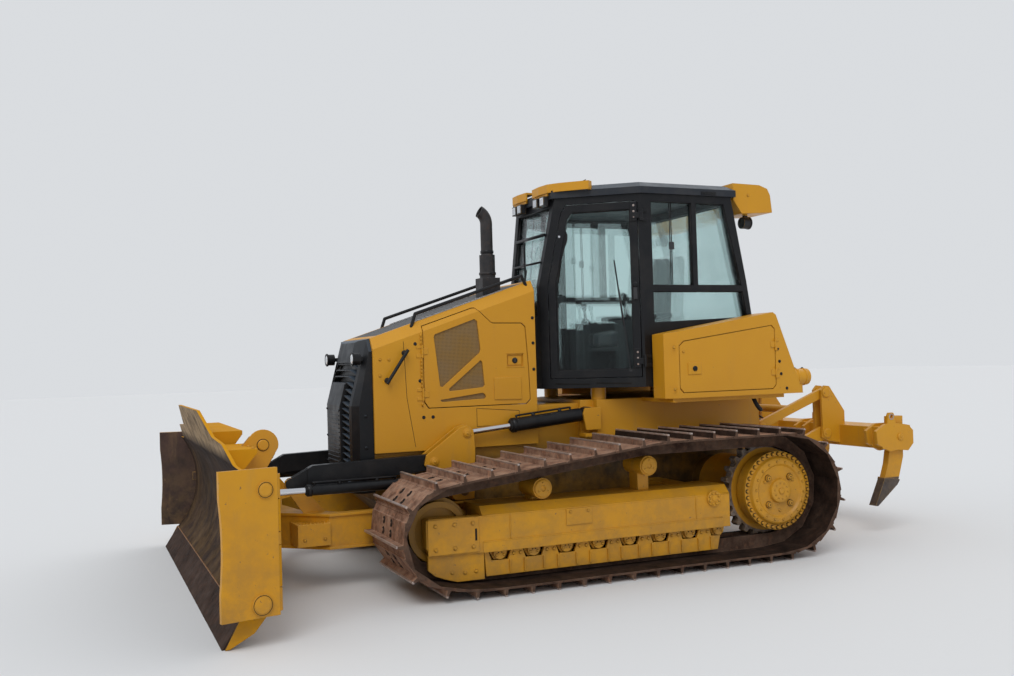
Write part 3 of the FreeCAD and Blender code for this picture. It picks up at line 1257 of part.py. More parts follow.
def make_yoke():
    # carrier that turns about the C-frame's nose and holds the blade's roll pin
    face_x = nose_x + nose_boss_radius + 6
    back_x = face_x + 18
    low = nose_boss_low - 34
    high = nose_boss_high + 34
    lobes = []
    for z0, z1 in ((low, nose_boss_low - 2), (nose_boss_high + 2, high)):
        lobes.append(upright_pin(nose_x, 0, z0, z1, 78))
        lobes.append(box(nose_x, back_x, -78, 78, z0, z1))
    pin = upright_pin(nose_x, 0, low - 12, high + 12, nose_pin_radius)
    cheek = box(face_x, back_x, -130, 130, low, high)
    roll_pin = rod((back_x - 1, 0, roll_z), (roll_pin_front_x, 0, roll_z), roll_pin_radius)
    # slanted tower that holds the tilt cylinder's head end between two plates
    tower = []
    ear = tilt_eye_half + side_gap
    for x0, x1 in ((tilt_x - ear - 18, tilt_x - ear), (tilt_x + ear, tilt_x + ear + 18)):
        tower.append(prism_yz([(tilt_anchor_y - 95, high - 1), (tilt_anchor_y + 135, high - 1),
                               (tilt_anchor_y + 62, 880),
                               (tilt_anchor_y + 50, tilt_anchor_z + 20),
                               (tilt_anchor_y + 20, tilt_anchor_z + 52),
                               (tilt_anchor_y - 40, tilt_anchor_z + 45),
                               (tilt_anchor_y - 62, tilt_anchor_z)], x0, x1))
    tower.append(box(tilt_x - ear - 18, tilt_x + ear + 18, tilt_anchor_y - 95, tilt_anchor_y + 135,
                     high - 1, high + 60))
    tower.append(prism_xz([(nose_x - 60, high - 30), (nose_x + 20, high - 30), (tilt_x - ear, high + 120),
                           (tilt_x - ear, 860),
                           (tilt_x - ear - 17, 860)], tilt_anchor_y - 10, tilt_anchor_y + 30))
    tower.append(rod((tilt_x - ear - 6, tilt_anchor_y, tilt_anchor_z),
                     (tilt_x + ear + 6, tilt_anchor_y, tilt_anchor_z), 24))
    keep("blade_yoke", fuse(lobes + [pin, cheek, roll_pin] + tower))


def make_angle_cylinders():
    ax, ay = angle_rear_pin
    fx, fy = angle_front_pin
    z = angle_cylinder_z
    tube = rod((ax + 55, ay, z), (ax + angle_barrel_length, fy, z), angle_barrel_radius)
    eye = upright_pin(ax, ay, z - angle_eye_half, z + angle_eye_half, 48)
    neck = rod((ax, ay, z), (ax + 60, ay, z), 28)
    boss = cross_pin(ax, z, ay - 55, ay + 55, 21)
    barrel = fuse([tube, eye, neck, boss])
    barrel = barrel.cut(rod((ax + 80, ay, z), (ax + angle_barrel_length + 5, ay, z),
                            angle_rod_radius + pin_gap))
    barrel = barrel.cut(Part.makeSphere(angle_ball_radius + pin_gap, V(ax, ay, z)))
    keep_pair("angle_barrel", barrel)
    shaft = rod((ax + 360, ay, z), (fx - 20, fy, z), angle_rod_radius)
    eye = upright_pin(fx, fy, z - angle_eye_half, z + angle_eye_half, 36)
    keep_pair("angle_rod", fuse([shaft, eye]))


def make_tilt_cylinder():
    y0, z0 = tilt_anchor_y, tilt_anchor_z
    y1, z1 = tilt_eye_y, tilt_eye_z
    length = hypot(y1 - y0, z1 - z0)
    uy, uz = (y1 - y0) / length, (z1 - z0) / length
    half = tilt_eye_half

    def along(distance):
        return tilt_x, y0 + uy * distance, z0 + uz * distance

    eye = rod((tilt_x - half, y0, z0), (tilt_x + half, y0, z0), 46)
    tube = rod(along(100), along(tilt_barrel_length), tilt_barrel_radius)
    barrel = fuse([eye, rod(along(0), along(110), 27), tube])
    barrel = barrel.cut(rod(along(120), along(tilt_barrel_length + 5), tilt_rod_radius + pin_gap))
    barrel = barrel.cut(rod((tilt_x - 50, y0, z0), (tilt_x + 50, y0, z0), 24 + pin_gap))
    keep("tilt_barrel", barrel)
    eye = rod((tilt_x - half, y1, z1), (tilt_x + half, y1, z1), 38)
    keep("tilt_rod", fuse([rod(along(250), along(length), tilt_rod_radius), eye]))


def make_ripper():
    lx, lz = ripper_lower_pin
    ux, uz = ripper_upper_pin
    rx, rz = ripper_reach
    ax, az = lx + rx, lz + rz
    bx, bz = ux + rx, uz + rz
    bore = 32 + pin_gap
    y = ripper_side_y
    # lower arm: two bars joined by a cross tube
    arms = []
    for side in (-1, 1):
        y0 = side * y - 20
        outline = [(lx + 40, lz - 55), (lx - 40, lz - 60), (ax + 20, az - 62), (ax - 50, az - 20),
                   (ax - 40, az + 50),
                   (ax + 30, az + 58), (lx, lz + 60), (lx + 50, lz + 20)]
        arms.append(prism_xz(outline, y0, y0 + 40))
    tie_x, tie_z = lx + rx * 0.62, lz + rz * 0.62 - 18
    tie = cross_pin(tie_x, tie_z, -y, y, 42)
    rod_x, rod_z = ripper_rod_pin
    lugs = [prism_xz([(rod_x - 45, rod_z + 35), (rod_x + 40, rod_z + 40), (tie_x + 38, tie_z + 8),
                      (tie_x - 34, tie_z - 22)], y0, y0 + 26) for y0 in (-70, 44)]
    arm = fuse(arms + [tie] + lugs)
    for px, pz in ((lx, lz), (ax, az)):
        arm = arm.cut(cross_pin(px, pz, -600, 600, bore))
    keep("ripper_arm", arm)
    links = []
    for side in (-1, 1):
        y0 = side * y - 20
        outline = [(ux + 40, uz - 42), (bx + 10, bz - 45), (bx - 45, bz), (bx - 10, bz + 45), (ux, uz + 48),
                   (ux + 50, uz + 10)]
        links.append(prism_xz(outline, y0, y0 + 40))
    brace = cross_pin(ux + rx * 0.5, uz + rz * 0.5, -y, y, 34)
    link = fuse(links + [brace])
    link = link.cut(cross_pin(ux, uz, -600, 600, bore)).cut(cross_pin(bx, bz, -600, 600, 32 + pin_gap))
    keep("ripper_link", link)
    # beam with upright plates, shank pockets and shanks
    beam_section = [(beam_front_x, beam_bottom_z + 30), (beam_front_x, beam_top_z),
                    (beam_rear_x + 40, beam_top_z),
                    (beam_rear_x, beam_top_z - 40), (beam_rear_x, beam_bottom_z + 60),
                    (beam_rear_x + 60, beam_bottom_z)]
    pieces = [prism_xz(beam_section, -beam_half_width, beam_half_width)]
    for side in (-1, 1):
        for y0 in (side * y - 50 - 24, side * y + 26):
            pieces.append(prism_xz([(ax + 55, az - 30), (ax + 45, az + 60), (bx + 50, bz + 20),
                                    (bx + 10, bz + 62), (bx - 40, bz + 55),
                                    (beam_front_x - 60, 1020), (beam_front_x - 60, beam_bottom_z + 40),
                                    (ax - 10, az - 65)],
                                   y0, y0 + 24))
        for px, pz in ((ax, az), (bx, bz)):
            pieces.append(cross_pin(px, pz, side * y - 51, side * y + 51, 32))
    beam = fuse(pieces)
    # end pockets with six-sided cheeks, and the middle pocket
    pocket = [(-2545, 868), (-2650, 926), (-2800, 926), (-2915, 905), (-2950, 800), (-2905, 716),
              (-2690, 692), (-2560, 760)]
    for y0 in shank_y:
        for y1 in (y0 - pocket_half, y0 + pocket_half - pocket_cheek):
            pieces.append(prism_xz(pocket, y1, y1 + pocket_cheek))
    rooms = [box(-2898, -2708, y0 - pocket_half + pocket_cheek, y0 + pocket_half - pocket_cheek, 600, 1100)
             for y0 in shank_y]
    pins = [cross_pin(-2805, 811, y0 - pocket_half - 12, y0 + pocket_half + 12, 22) for y0 in shank_y]
    beam = fuse([fuse(pieces).cut(Part.makeCompound(rooms))] + pins)
    # X, Z of a shank: upright in its pocket, then curved forwards to the point
    shank_line = [(-2735, 985), (-2725, 700), (-2702, 580), (-2662, shank_point_z),
                  (-2810, shank_point_z - 25), (-2842, 540),
                  (-2872, 640), (-2880, 985)]
    point_line = [(-2652, shank_point_z + 8), (-2645, shank_point_z - 20), (-2545, shank_tip_z),
                  (-2572, shank_tip_z - 4),
                  (-2790, shank_point_z - 62), (-2818, shank_point_z - 25), (-2812, shank_point_z - 18)]
    shanks = []
    for y0 in shank_y:
        half = shank_thickness / 2
        shank = prism_xz(shank_line, y0 - half, y0 + half)
        point = prism_xz(point_line, y0 - half - 9, y0 + half + 9)
        shanks.append(fuse([shank, point]).cut(cross_pin(-2805, 811, y0 - 50, y0 + 50, 22 + pin_gap)))
    keep("ripper_shanks", Part.makeCompound(shanks))
    eyes = []
    for side in (-1, 1):
        y0 = side * eye_y - eye_thickness / 2
        eye = prism_xz([(eye_x - 50, beam_top_z - 20), (eye_x + 50, beam_top_z - 20),
                        (eye_x + 36, eye_z + 8), (eye_x + 22, eye_z + 34),
                        (eye_x - 22, eye_z + 34), (eye_x - 36, eye_z + 8)], y0, y0 + eye_thickness)
        eyes.append(eye.cut(cross_pin(eye_x, eye_z, y0 - 5, y0 + eye_thickness + 5, eye_hole_radius)))
    beam = fuse([beam] + eyes)
    keep("ripper_beam", beam)
    cx, cz = ripper_barrel_pin
    length = hypot(rod_x - cx, rod_z - cz)
    vx, vz = (rod_x - cx) / length, (rod_z - cz) / length

    def along(distance):
        return cx + vx * distance, 0, cz + vz * distance

    barrel = fuse([cross_pin(cx, cz, -62, 62, 50), rod(along(0), along(70), 36),
                   rod(along(60), along(ripper_barrel_length), ripper_barrel_radius)])
    barrel = barrel.cut(rod(along(66), along(ripper_barrel_length + 5), ripper_rod_radius + pin_gap))
    barrel = barrel.cut(cross_pin(cx, cz, -80, 80, 30 + pin_gap))
    keep("ripper_barrel", barrel)
    keep("ripper_rod", fuse([rod(along(156), along(length), ripper_rod_radius),
                             cross_pin(rod_x, rod_z, -38, 38, 42)]))


def main():
    make_undercarriage()
    make_main_frame()
    make_hood()
    make_radiator_guard()
    make_head_lamps()
    make_exhaust()
    make_hand_rails()
    make_cab()
    make_roof_pods()
    make_interior()
    make_fenders()
    make_c_frame()
    make_lift_side()
    make_blade()
    make_wings()
    make_yoke()
    make_angle_cylinders()
    make_tilt_cylinder()
    make_ripper()
    os.makedirs("parts", exist_ok=True)
    for name, shape in parts.items():
        shape.exportStep(os.path.join("parts", name + ".step"))


main()
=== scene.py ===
import math
import random

import bpy
import bmesh
from mathutils import Matrix, Vector


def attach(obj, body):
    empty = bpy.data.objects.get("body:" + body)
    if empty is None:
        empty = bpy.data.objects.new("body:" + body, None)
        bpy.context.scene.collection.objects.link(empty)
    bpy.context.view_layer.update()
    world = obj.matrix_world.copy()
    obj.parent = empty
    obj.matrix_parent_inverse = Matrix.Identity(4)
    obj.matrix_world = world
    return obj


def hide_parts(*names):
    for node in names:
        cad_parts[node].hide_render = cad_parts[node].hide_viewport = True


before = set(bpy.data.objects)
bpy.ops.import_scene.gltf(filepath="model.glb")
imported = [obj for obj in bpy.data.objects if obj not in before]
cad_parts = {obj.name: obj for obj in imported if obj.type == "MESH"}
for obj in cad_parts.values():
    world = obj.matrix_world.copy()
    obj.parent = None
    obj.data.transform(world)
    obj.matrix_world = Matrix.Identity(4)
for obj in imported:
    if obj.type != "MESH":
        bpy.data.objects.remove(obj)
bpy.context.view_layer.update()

scene = bpy.context.scene
random.seed(7)
SIDES = (("left", 1), ("right", -1))

# The camera stands where the photograph was taken from, in the part's own frame
CAMERA_PLACE = Vector((3.667, 7.722, 1.572))
CAMERA_YAW = 0.403
CAMERA_PITCH = -0.020
CAMERA_ROLL = -0.029
CAMERA_LENS = 36.35


def put_camera():
    forward = Vector((-math.sin(CAMERA_YAW) * math.cos(CAMERA_PITCH),
                      -math.cos(CAMERA_YAW) * math.cos(CAMERA_PITCH), -math.sin(CAMERA_PITCH)))
    right = Vector((-math.cos(CAMERA_YAW), math.sin(CAMERA_YAW), 0.0))
    up = right.cross(forward)
    turned_right = right * math.cos(CAMERA_ROLL) + up * math.sin(CAMERA_ROLL)
    turned_up = up * math.cos(CAMERA_ROLL) - right * math.sin(CAMERA_ROLL)
    data = bpy.data.cameras.new("camera")
    data.lens = CAMERA_LENS
    data.sensor_width = 36.0
    camera = bpy.data.objects.new("camera", data)
    scene.collection.objects.link(camera)
    turn = Matrix((turned_right, turned_up, -forward)).transposed()
    camera.matrix_world = Matrix.Translation(CAMERA_PLACE) @ turn.to_4x4()
    scene.camera = camera


# Materials

def new_material(name, color, metallic=0.0, roughness=0.5):
    material = bpy.data.materials.new(name)
    material.use_nodes = True
    shader = material.node_tree.nodes["Principled BSDF"]
    shader.inputs["Base Color"].default_value = (*color, 1.0)
    shader.inputs["Metallic"].default_value = metallic
    shader.inputs["Roughness"].default_value = roughness
    return material, material.node_tree, shader


def noise(tree, scale, detail=4.0, rough=0.6, stretch=None, seed=0.0):
    place = tree.nodes.new("ShaderNodeTexCoord")
    shift = tree.nodes.new("ShaderNodeMapping")
    shift.inputs["Location"].default_value = (seed, seed * 1.7, seed * 0.3)
    if stretch:
        shift.inputs["Scale"].default_value = stretch
    tree.links.new(place.outputs["Object"], shift.inputs["Vector"])
    texture = tree.nodes.new("ShaderNodeTexNoise")
    texture.inputs["Scale"].default_value = scale
    texture.inputs["Detail"].default_value = detail
    texture.inputs["Roughness"].default_value = rough
    tree.links.new(shift.outputs["Vector"], texture.inputs["Vector"])
    return texture.outputs["Fac"]


def ramp(tree, value, low, high, low_out=0.0, high_out=1.0):
    spread = tree.nodes.new("ShaderNodeMapRange")
    spread.inputs["From Min"].default_value = low
    spread.inputs["From Max"].default_value = high
    spread.inputs["To Min"].default_value = low_out
    spread.inputs["To Max"].default_value = high_out
    tree.links.new(value, spread.inputs["Value"])
    return spread.outputs["Result"]


def mix_color(tree, share, first, second):
    blend = tree.nodes.new("ShaderNodeMix")
    blend.data_type = "RGBA"
    tree.links.new(share, blend.inputs["Factor"])
    for value, socket in ((first, blend.inputs["A"]), (second, blend.inputs["B"])):
        if isinstance(value, tuple):
            socket.default_value = (*value, 1.0)
        else:
            tree.links.new(value, socket)
    return blend.outputs["Result"]


def times(tree, first, second):
    product = tree.nodes.new("ShaderNodeMath")
    product.operation = "MULTIPLY"
    for value, socket in ((first, product.inputs[0]), (second, product.inputs[1])):
        if isinstance(value, float):
            socket.default_value = value
        else:
            tree.links.new(value, socket)
    return product.outputs["Value"]


def bump(tree, shader, height, distance, strength=1.0):
    node = tree.nodes.new("ShaderNodeBump")
    node.inputs["Distance"].default_value = distance
    node.inputs["Strength"].default_value = strength
    tree.links.new(height, node.inputs["Height"])
    tree.links.new(node.outputs["Normal"], shader.inputs["Normal"])


def value_below(tree, axis, low, high):
    # 1 where the object's X, Y or Z is under low, falling to 0 at high
    place = tree.nodes.new("ShaderNodeTexCoord")
    split = tree.nodes.new("ShaderNodeSeparateXYZ")
    tree.links.new(place.outputs["Object"], split.inputs["Vector"])
    return ramp(tree, split.outputs[axis], low, high, 1.0, 0.0)


def facing(tree, axis, low, high):
    # share of a surface that faces along an axis of the object
    place = tree.nodes.new("ShaderNodeTexCoord")
    split = tree.nodes.new("ShaderNodeSeparateXYZ")
    tree.links.new(place.outputs["Normal"], split.inputs["Vector"])
    return ramp(tree, split.outputs[axis], low, high)


def round_edges(tree, shader, radius, height, distance, strength):
    # softened edges under a fine bump; gives back the share of the surface that is an edge
    soft = tree.nodes.new("ShaderNodeBevel")
    soft.samples = 4
    soft.inputs["Radius"].default_value = radius
    plain = tree.nodes.new("ShaderNodeNewGeometry")
    dot = tree.nodes.new("ShaderNodeVectorMath")
    dot.operation = "DOT_PRODUCT"
    tree.links.new(soft.outputs["Normal"], dot.inputs[0])
    tree.links.new(plain.outputs["Normal"], dot.inputs[1])
    node = tree.nodes.new("ShaderNodeBump")
    node.inputs["Distance"].default_value = distance
    node.inputs["Strength"].default_value = strength
    tree.links.new(height, node.inputs["Height"])
    tree.links.new(soft.outputs["Normal"], node.inputs["Normal"])
    tree.links.new(node.outputs["Normal"], shader.inputs["Normal"])
    return ramp(tree, dot.outputs["Value"], 0.985, 0.80)


def yellow_paint(name="yellow_paint", color=(0.63, 0.295, 0.012), dirt=1.0, dust=(0.33, 0.20, 0.08), second=None, coat=0.10,
                 shine=0.30, rough=(0.33, 0.55)):
    material, tree, shader = new_material(name, color, 0.0, 0.42)
    shader.inputs["Specular IOR Level"].default_value = shine
    shader.inputs["Coat Weight"].default_value = coat
    shader.inputs["Coat Roughness"].default_value = 0.25
    edges = round_edges(tree, shader, 0.007, noise(tree, 90.0, 2.0, 0.5), 0.0004, 0.5)
    fade = ramp(tree, noise(tree, 2.2, 5.0, 0.6, None, 1.0), 0.35, 0.7, 0.0, 0.5)
    base = mix_color(tree, fade, color, (color[0] * 0.92, color[1] * 0.86, color[2] * 1.2))
    if second:
        base = second(tree, base)
    streak = ramp(tree, noise(tree, 5.0, 6.0, 0.7, (1.0, 1.0, 0.18), 3.0), 0.56, 0.74, 0.0, 0.35 * dirt)
    base = mix_color(tree, streak, base, dust)
    speck = ramp(tree, noise(tree, 7.0, 6.0, 0.7, None, 5.0), 0.38, 0.62, 0.0, 0.45 * dirt)
    low = times(tree, value_below(tree, "Z", 0.2, 1.0), speck)
    base = mix_color(tree, low, base, (0.22, 0.13, 0.05))
    # edges lighter: partly paint worn off, partly a painted highlight along the rounded edges
    wear_and_highlight = times(tree, edges, ramp(tree, noise(tree, 14.0, 5.0, 0.7, None, 7.0), 0.40, 0.58, 0.15, 0.85))
    base = mix_color(tree, times(tree, wear_and_highlight, 0.7), base, (0.74, 0.43, 0.09))
    chip = ramp(tree, noise(tree, 38.0, 3.0, 0.55, None, 9.0), 0.70, 0.73, 0.0, 0.8 * dirt)
    base = mix_color(tree, chip, base, (0.16, 0.09, 0.05))
    tree.links.new(base, shader.inputs["Base Color"])
    tree.links.new(ramp(tree, noise(tree, 6.0, 4.0, 0.6, None, 2.0), 0.3, 0.7, *rough), shader.inputs["Roughness"])
    return material


def plain_paint(name, color, roughness=0.45, dust=0.3, painted_sky_reflection=None, grime=(0.10, 0.085, 0.07)):
    material, tree, shader = new_material(name, color, 0.0, roughness)
    shader.inputs["Specular IOR Level"].default_value = 0.28
    edges = round_edges(tree, shader, 0.005, noise(tree, 60.0, 3.0, 0.5), 0.0005, 0.6)
    # painted highlight: the edges are mixed towards a lighter copy of the colour
    base = mix_color(tree, times(tree, edges, 0.35), color, tuple(min(c * 2.0 + 0.03, 1.0) for c in color))
    # painted sky reflection: faces turned upwards are mixed towards the given colour
    if painted_sky_reflection:
        base = mix_color(tree, facing(tree, "Z", 0.15, 0.9), base, painted_sky_reflection)
    share = ramp(tree, noise(tree, 5.0, 6.0, 0.7, None, 4.0), 0.46, 0.76, 0.0, dust)
    tree.links.new(mix_color(tree, share, base, grime), shader.inputs["Base Color"])
    tree.links.new(ramp(tree, noise(tree, 9.0, 4.0, 0.6, None, 2.0), 0.3, 0.7, roughness - 0.08, roughness + 0.1),
                   shader.inputs["Roughness"])
    return material


def rusty_steel(name, dark, light, metallic=0.35, roughness=0.62, coarse=6.0, extra=None, shine=0.40):
    material, tree, shader = new_material(name, dark, metallic, roughness)
    shader.inputs["Specular IOR Level"].default_value = shine
    edges = round_edges(tree, shader, 0.006, noise(tree, 45.0, 6.0, 0.7), 0.0012, 0.8)
    patches = ramp(tree, noise(tree, coarse, 7.0, 0.7, None, 6.0), 0.32, 0.68)
    base = mix_color(tree, patches, dark, light)
    spots = ramp(tree, noise(tree, 26.0, 5.0, 0.65, None, 2.0), 0.52, 0.66, 0.0, 0.7)
    base = mix_color(tree, spots, base, (light[0] * 1.15, light[1] * 0.92, light[2] * 0.80))
    base = mix_color(tree, times(tree, edges, 0.45), base, tuple(min(c * 1.6 + 0.06, 1.0) for c in light))
    if extra:
        base = extra(tree, base)
    tree.links.new(base, shader.inputs["Base Color"])
    tree.links.new(ramp(tree, noise(tree, 12.0, 5.0, 0.6, None, 8.0), 0.3, 0.7, roughness - 0.15, roughness + 0.15),
                   shader.inputs["Roughness"])
    return material


def chrome():
    material, tree, shader = new_material("chrome", (0.74, 0.74, 0.76), 1.0, 0.12)
    tree.links.new(ramp(tree, noise(tree, 30.0, 4.0, 0.6, (0.2, 1.0, 1.0), 2.0), 0.3, 0.7, 0.07, 0.22), shader.inputs["Roughness"])
    return material


def clear_glass():
    material, tree, shader = new_material("window_glass", (0.52, 0.68, 0.67), 0.0, 0.0)
    shader.inputs["Transmission Weight"].default_value = 1.0
    shader.inputs["IOR"].default_value = 1.35
    shader.inputs["Alpha"].default_value = 0.62
    dusty = ramp(tree, noise(tree, 2.5, 5.0, 0.7, None, 3.0), 0.40, 0.75, 0.0, 0.5)
    tree.links.new(mix_color(tree, dusty, (0.60, 0.80, 0.79), (0.66, 0.80, 0.78)), shader.inputs["Base Color"])
    return material


def dotted(name, plain, dots, size, roughness=0.6, metallic=0.0):
    # plate with a fine pattern of round holes; the holes are painted darker, as painted shade behind the plate
    material, tree, shader = new_material(name, plain, metallic, roughness)
    place = tree.nodes.new("ShaderNodeTexCoord")
    cells = tree.nodes.new("ShaderNodeTexVoronoi")
    cells.inputs["Scale"].default_value = size
    cells.inputs["Randomness"].default_value = 0.0
    tree.links.new(place.outputs["Object"], cells.inputs["Vector"])
    recess_shade = ramp(tree, cells.outputs["Distance"], 0.30, 0.38, 1.0, 0.0)
    dusty = mix_color(tree, ramp(tree, noise(tree, 6.0, 5.0, 0.7), 0.4, 0.7, 0.0, 0.5), plain, (0.22, 0.16, 0.10))
    tree.links.new(mix_color(tree, recess_shade, dusty, dots), shader.inputs["Base Color"])
    bump(tree, shader, recess_shade, -0.001, 0.8)
    return material


def lamp_lens():
    material, tree, shader = new_material("lamp_lens", (0.62, 0.66, 0.68), 0.25, 0.12)
    shader.inputs["Coat Weight"].default_value = 0.8
    ribs = tree.nodes.new("ShaderNodeTexWave")
    place = tree.nodes.new("ShaderNodeTexCoord")
    ribs.inputs["Scale"].default_value = 30.0
    tree.links.new(place.outputs["Object"], ribs.inputs["Vector"])
    tree.links.new(mix_color(tree, ribs.outputs["Fac"], (0.50, 0.55, 0.58), (0.80, 0.83, 0.85)), shader.inputs["Base Color"])
    bump(tree, shader, ribs.outputs["Fac"], 0.001, 0.4)
    return material


def seat_cloth():
    material, tree, shader = new_material("seat_cloth", (0.032, 0.033, 0.038), 0.0, 0.92)
    shader.inputs["Sheen Weight"].default_value = 0.35
    weave = tree.nodes.new("ShaderNodeTexChecker")
    place = tree.nodes.new("ShaderNodeTexCoord")
    weave.inputs["Scale"].default_value = 320.0
    tree.links.new(place.outputs["Object"], weave.inputs["Vector"])
    mottled = ramp(tree, noise(tree, 12.0, 5.0, 0.7), 0.35, 0.7, 0.0, 0.6)
    base = mix_color(tree, mottled, (0.026, 0.027, 0.031), (0.060, 0.060, 0.066))
    tree.links.new(mix_color(tree, times(tree, weave.outputs["Fac"], 0.3), base, (0.09, 0.09, 0.10)), shader.inputs["Base Color"])
    bump(tree, shader, weave.outputs["Fac"], 0.0006, 0.6)
    return material


def track_painted_shade(tree, base):
    # faces turned to the inside of the loop and the shoes' ends are darkened: painted shade
    place = tree.nodes.new("ShaderNodeTexCoord")
    flat = (1.0, 0.0, 1.0)
    spot = tree.nodes.new("ShaderNodeVectorMath")
    spot.operation = "SUBTRACT"
    spot.inputs[1].default_value = (0.06, 0.0, 0.47)
    tree.links.new(place.outputs["Object"], spot.inputs[0])
    level = tree.nodes.new("ShaderNodeVectorMath")
    level.operation = "MULTIPLY"
    level.inputs[1].default_value = flat
    tree.links.new(spot.outputs["Vector"], level.inputs[0])
    reach = tree.nodes.new("ShaderNodeVectorMath")
    reach.operation = "DOT_PRODUCT"
    tree.links.new(level.outputs["Vector"], reach.inputs[0])
    tree.links.new(place.outputs["Normal"], reach.inputs[1])
    inner_shade = ramp(tree, reach.outputs["Value"], -0.03, -0.12)
    split = tree.nodes.new("ShaderNodeSeparateXYZ")
    tree.links.new(place.outputs["Normal"], split.inputs["Vector"])
    size = tree.nodes.new("ShaderNodeMath")
    size.operation = "ABSOLUTE"
    tree.links.new(split.outputs["Y"], size.inputs[0])
    either = tree.nodes.new("ShaderNodeMath")
    either.operation = "MAXIMUM"
    tree.links.new(inner_shade, either.inputs[0])
    tree.links.new(ramp(tree, size.outputs["Value"], 0.6, 0.8, 0.0, 0.75), either.inputs[1])
    ragged = ramp(tree, noise(tree, 9.0, 6.0, 0.7, None, 3.0), 0.3, 0.7, 0.88, 1.0)
    dark = mix_color(tree, ramp(tree, noise(tree, 12.0, 6.0, 0.7), 0.4, 0.7), (0.007, 0.0045, 0.0035), (0.026, 0.015, 0.011))
    return mix_color(tree, times(tree, either.outputs["Value"], ragged), base, dark)


def wing_look(low, high):
    # the wing's inner side is bare dark steel, its outer side painted
    def paint(tree, base):
        bare = mix_color(tree, ramp(tree, noise(tree, 5.0, 7.0, 0.7, None, 2.0), 0.35, 0.66), (0.022, 0.012, 0.010),
                         (0.075, 0.038, 0.028))
        return mix_color(tree, facing(tree, "Y", low, high), base, bare)
    return paint


def frame_grime_and_shade(tree, base):
    # grime and painted shade low on the frame behind the track, clean paint above it and behind
    low = times(tree, value_below(tree, "Z", 0.80, 0.96), ramp(tree, value_below(tree, "X", -1.62, -1.50), 0.0, 1.0, 1.0, 0.0))
    ragged = ramp(tree, noise(tree, 5.0, 6.0, 0.7, None, 8.0), 0.30, 0.60, 0.60, 0.97)
    dark = mix_color(tree, ramp(tree, noise(tree, 9.0, 6.0, 0.7), 0.4, 0.7), (0.030, 0.017, 0.007), (0.085, 0.050, 0.018))
    return mix_color(tree, times(tree, low, ragged), base, dark)


def sprocket_look(tree, base):
    # bare grey teeth on the ring, round the painted final drive
    place = tree.nodes.new("ShaderNodeTexCoord")
    split = tree.nodes.new("ShaderNodeSeparateXYZ")
    join = tree.nodes.new("ShaderNodeCombineXYZ")
    tree.links.new(place.outputs["Object"], split.inputs["Vector"])
    tree.links.new(split.outputs["X"], join.inputs["X"])
    tree.links.new(split.outputs["Z"], join.inputs["Z"])
    reach = tree.nodes.new("ShaderNodeVectorMath")
    reach.operation = "DISTANCE"
    reach.inputs[1].default_value = (-1.306, 0.0, 0.50)
    tree.links.new(join.outputs["Vector"], reach.inputs[0])
    grey = mix_color(tree, ramp(tree, noise(tree, 20.0, 5.0, 0.7), 0.4, 0.6), (0.10, 0.075, 0.06), (0.26, 0.22, 0.20))
    return mix_color(tree, ramp(tree, reach.outputs["Value"], 0.318, 0.324), base, grey)


def shank_look(tree, base):
    # bare dark point under the painted shank, with a ragged border
    ragged = mix_color(tree, ramp(tree, noise(tree, 18.0, 5.0, 0.7), 0.3, 0.7), (0.035, 0.028, 0.026), (0.09, 0.07, 0.06))
    return mix_color(tree, value_below(tree, "Z", 0.462, 0.475), base, ragged)


def pod_look(tree, base):
    # yellow visors and boxes, black lamps under them
    front = times(tree, value_below(tree, "Z", 2.8665, 2.867), ramp(tree, value_below(tree, "X", -0.5, -0.49), 0.0, 1.0, 1.0, 0.0))
    base = mix_color(tree, front, base, (0.02, 0.02, 0.022))
    return mix_color(tree, value_below(tree, "Z", 2.7065, 2.707), base, (0.02, 0.02, 0.022))


def blade_look(tree, base):
    # the worked face is bare: dark brown low down, tan over the middle of its top
    face = times(tree, facing(tree, "X", 0.25, 0.40), value_below(tree, "X", 2.95, 2.96))
    patches = ramp(tree, noise(tree, 4.0, 7.0, 0.7, (1.0, 0.4, 1.0), 6.0), 0.35, 0.66)
    bare = mix_color(tree, patches, (0.016, 0.010, 0.008), (0.046, 0.027, 0.020))
    upper = ramp(tree, value_below(tree, "Z", 0.98, 1.06), 0.0, 1.0, 1.0, 0.0)
    worn = times(tree, upper, ramp(tree, noise(tree, 9.0, 6.0, 0.7, None, 4.0), 0.35, 0.6, 0.25, 0.95))
    bare = mix_color(tree, worn, bare, (0.38, 0.27, 0.16))
    return mix_color(tree, face, base, bare)


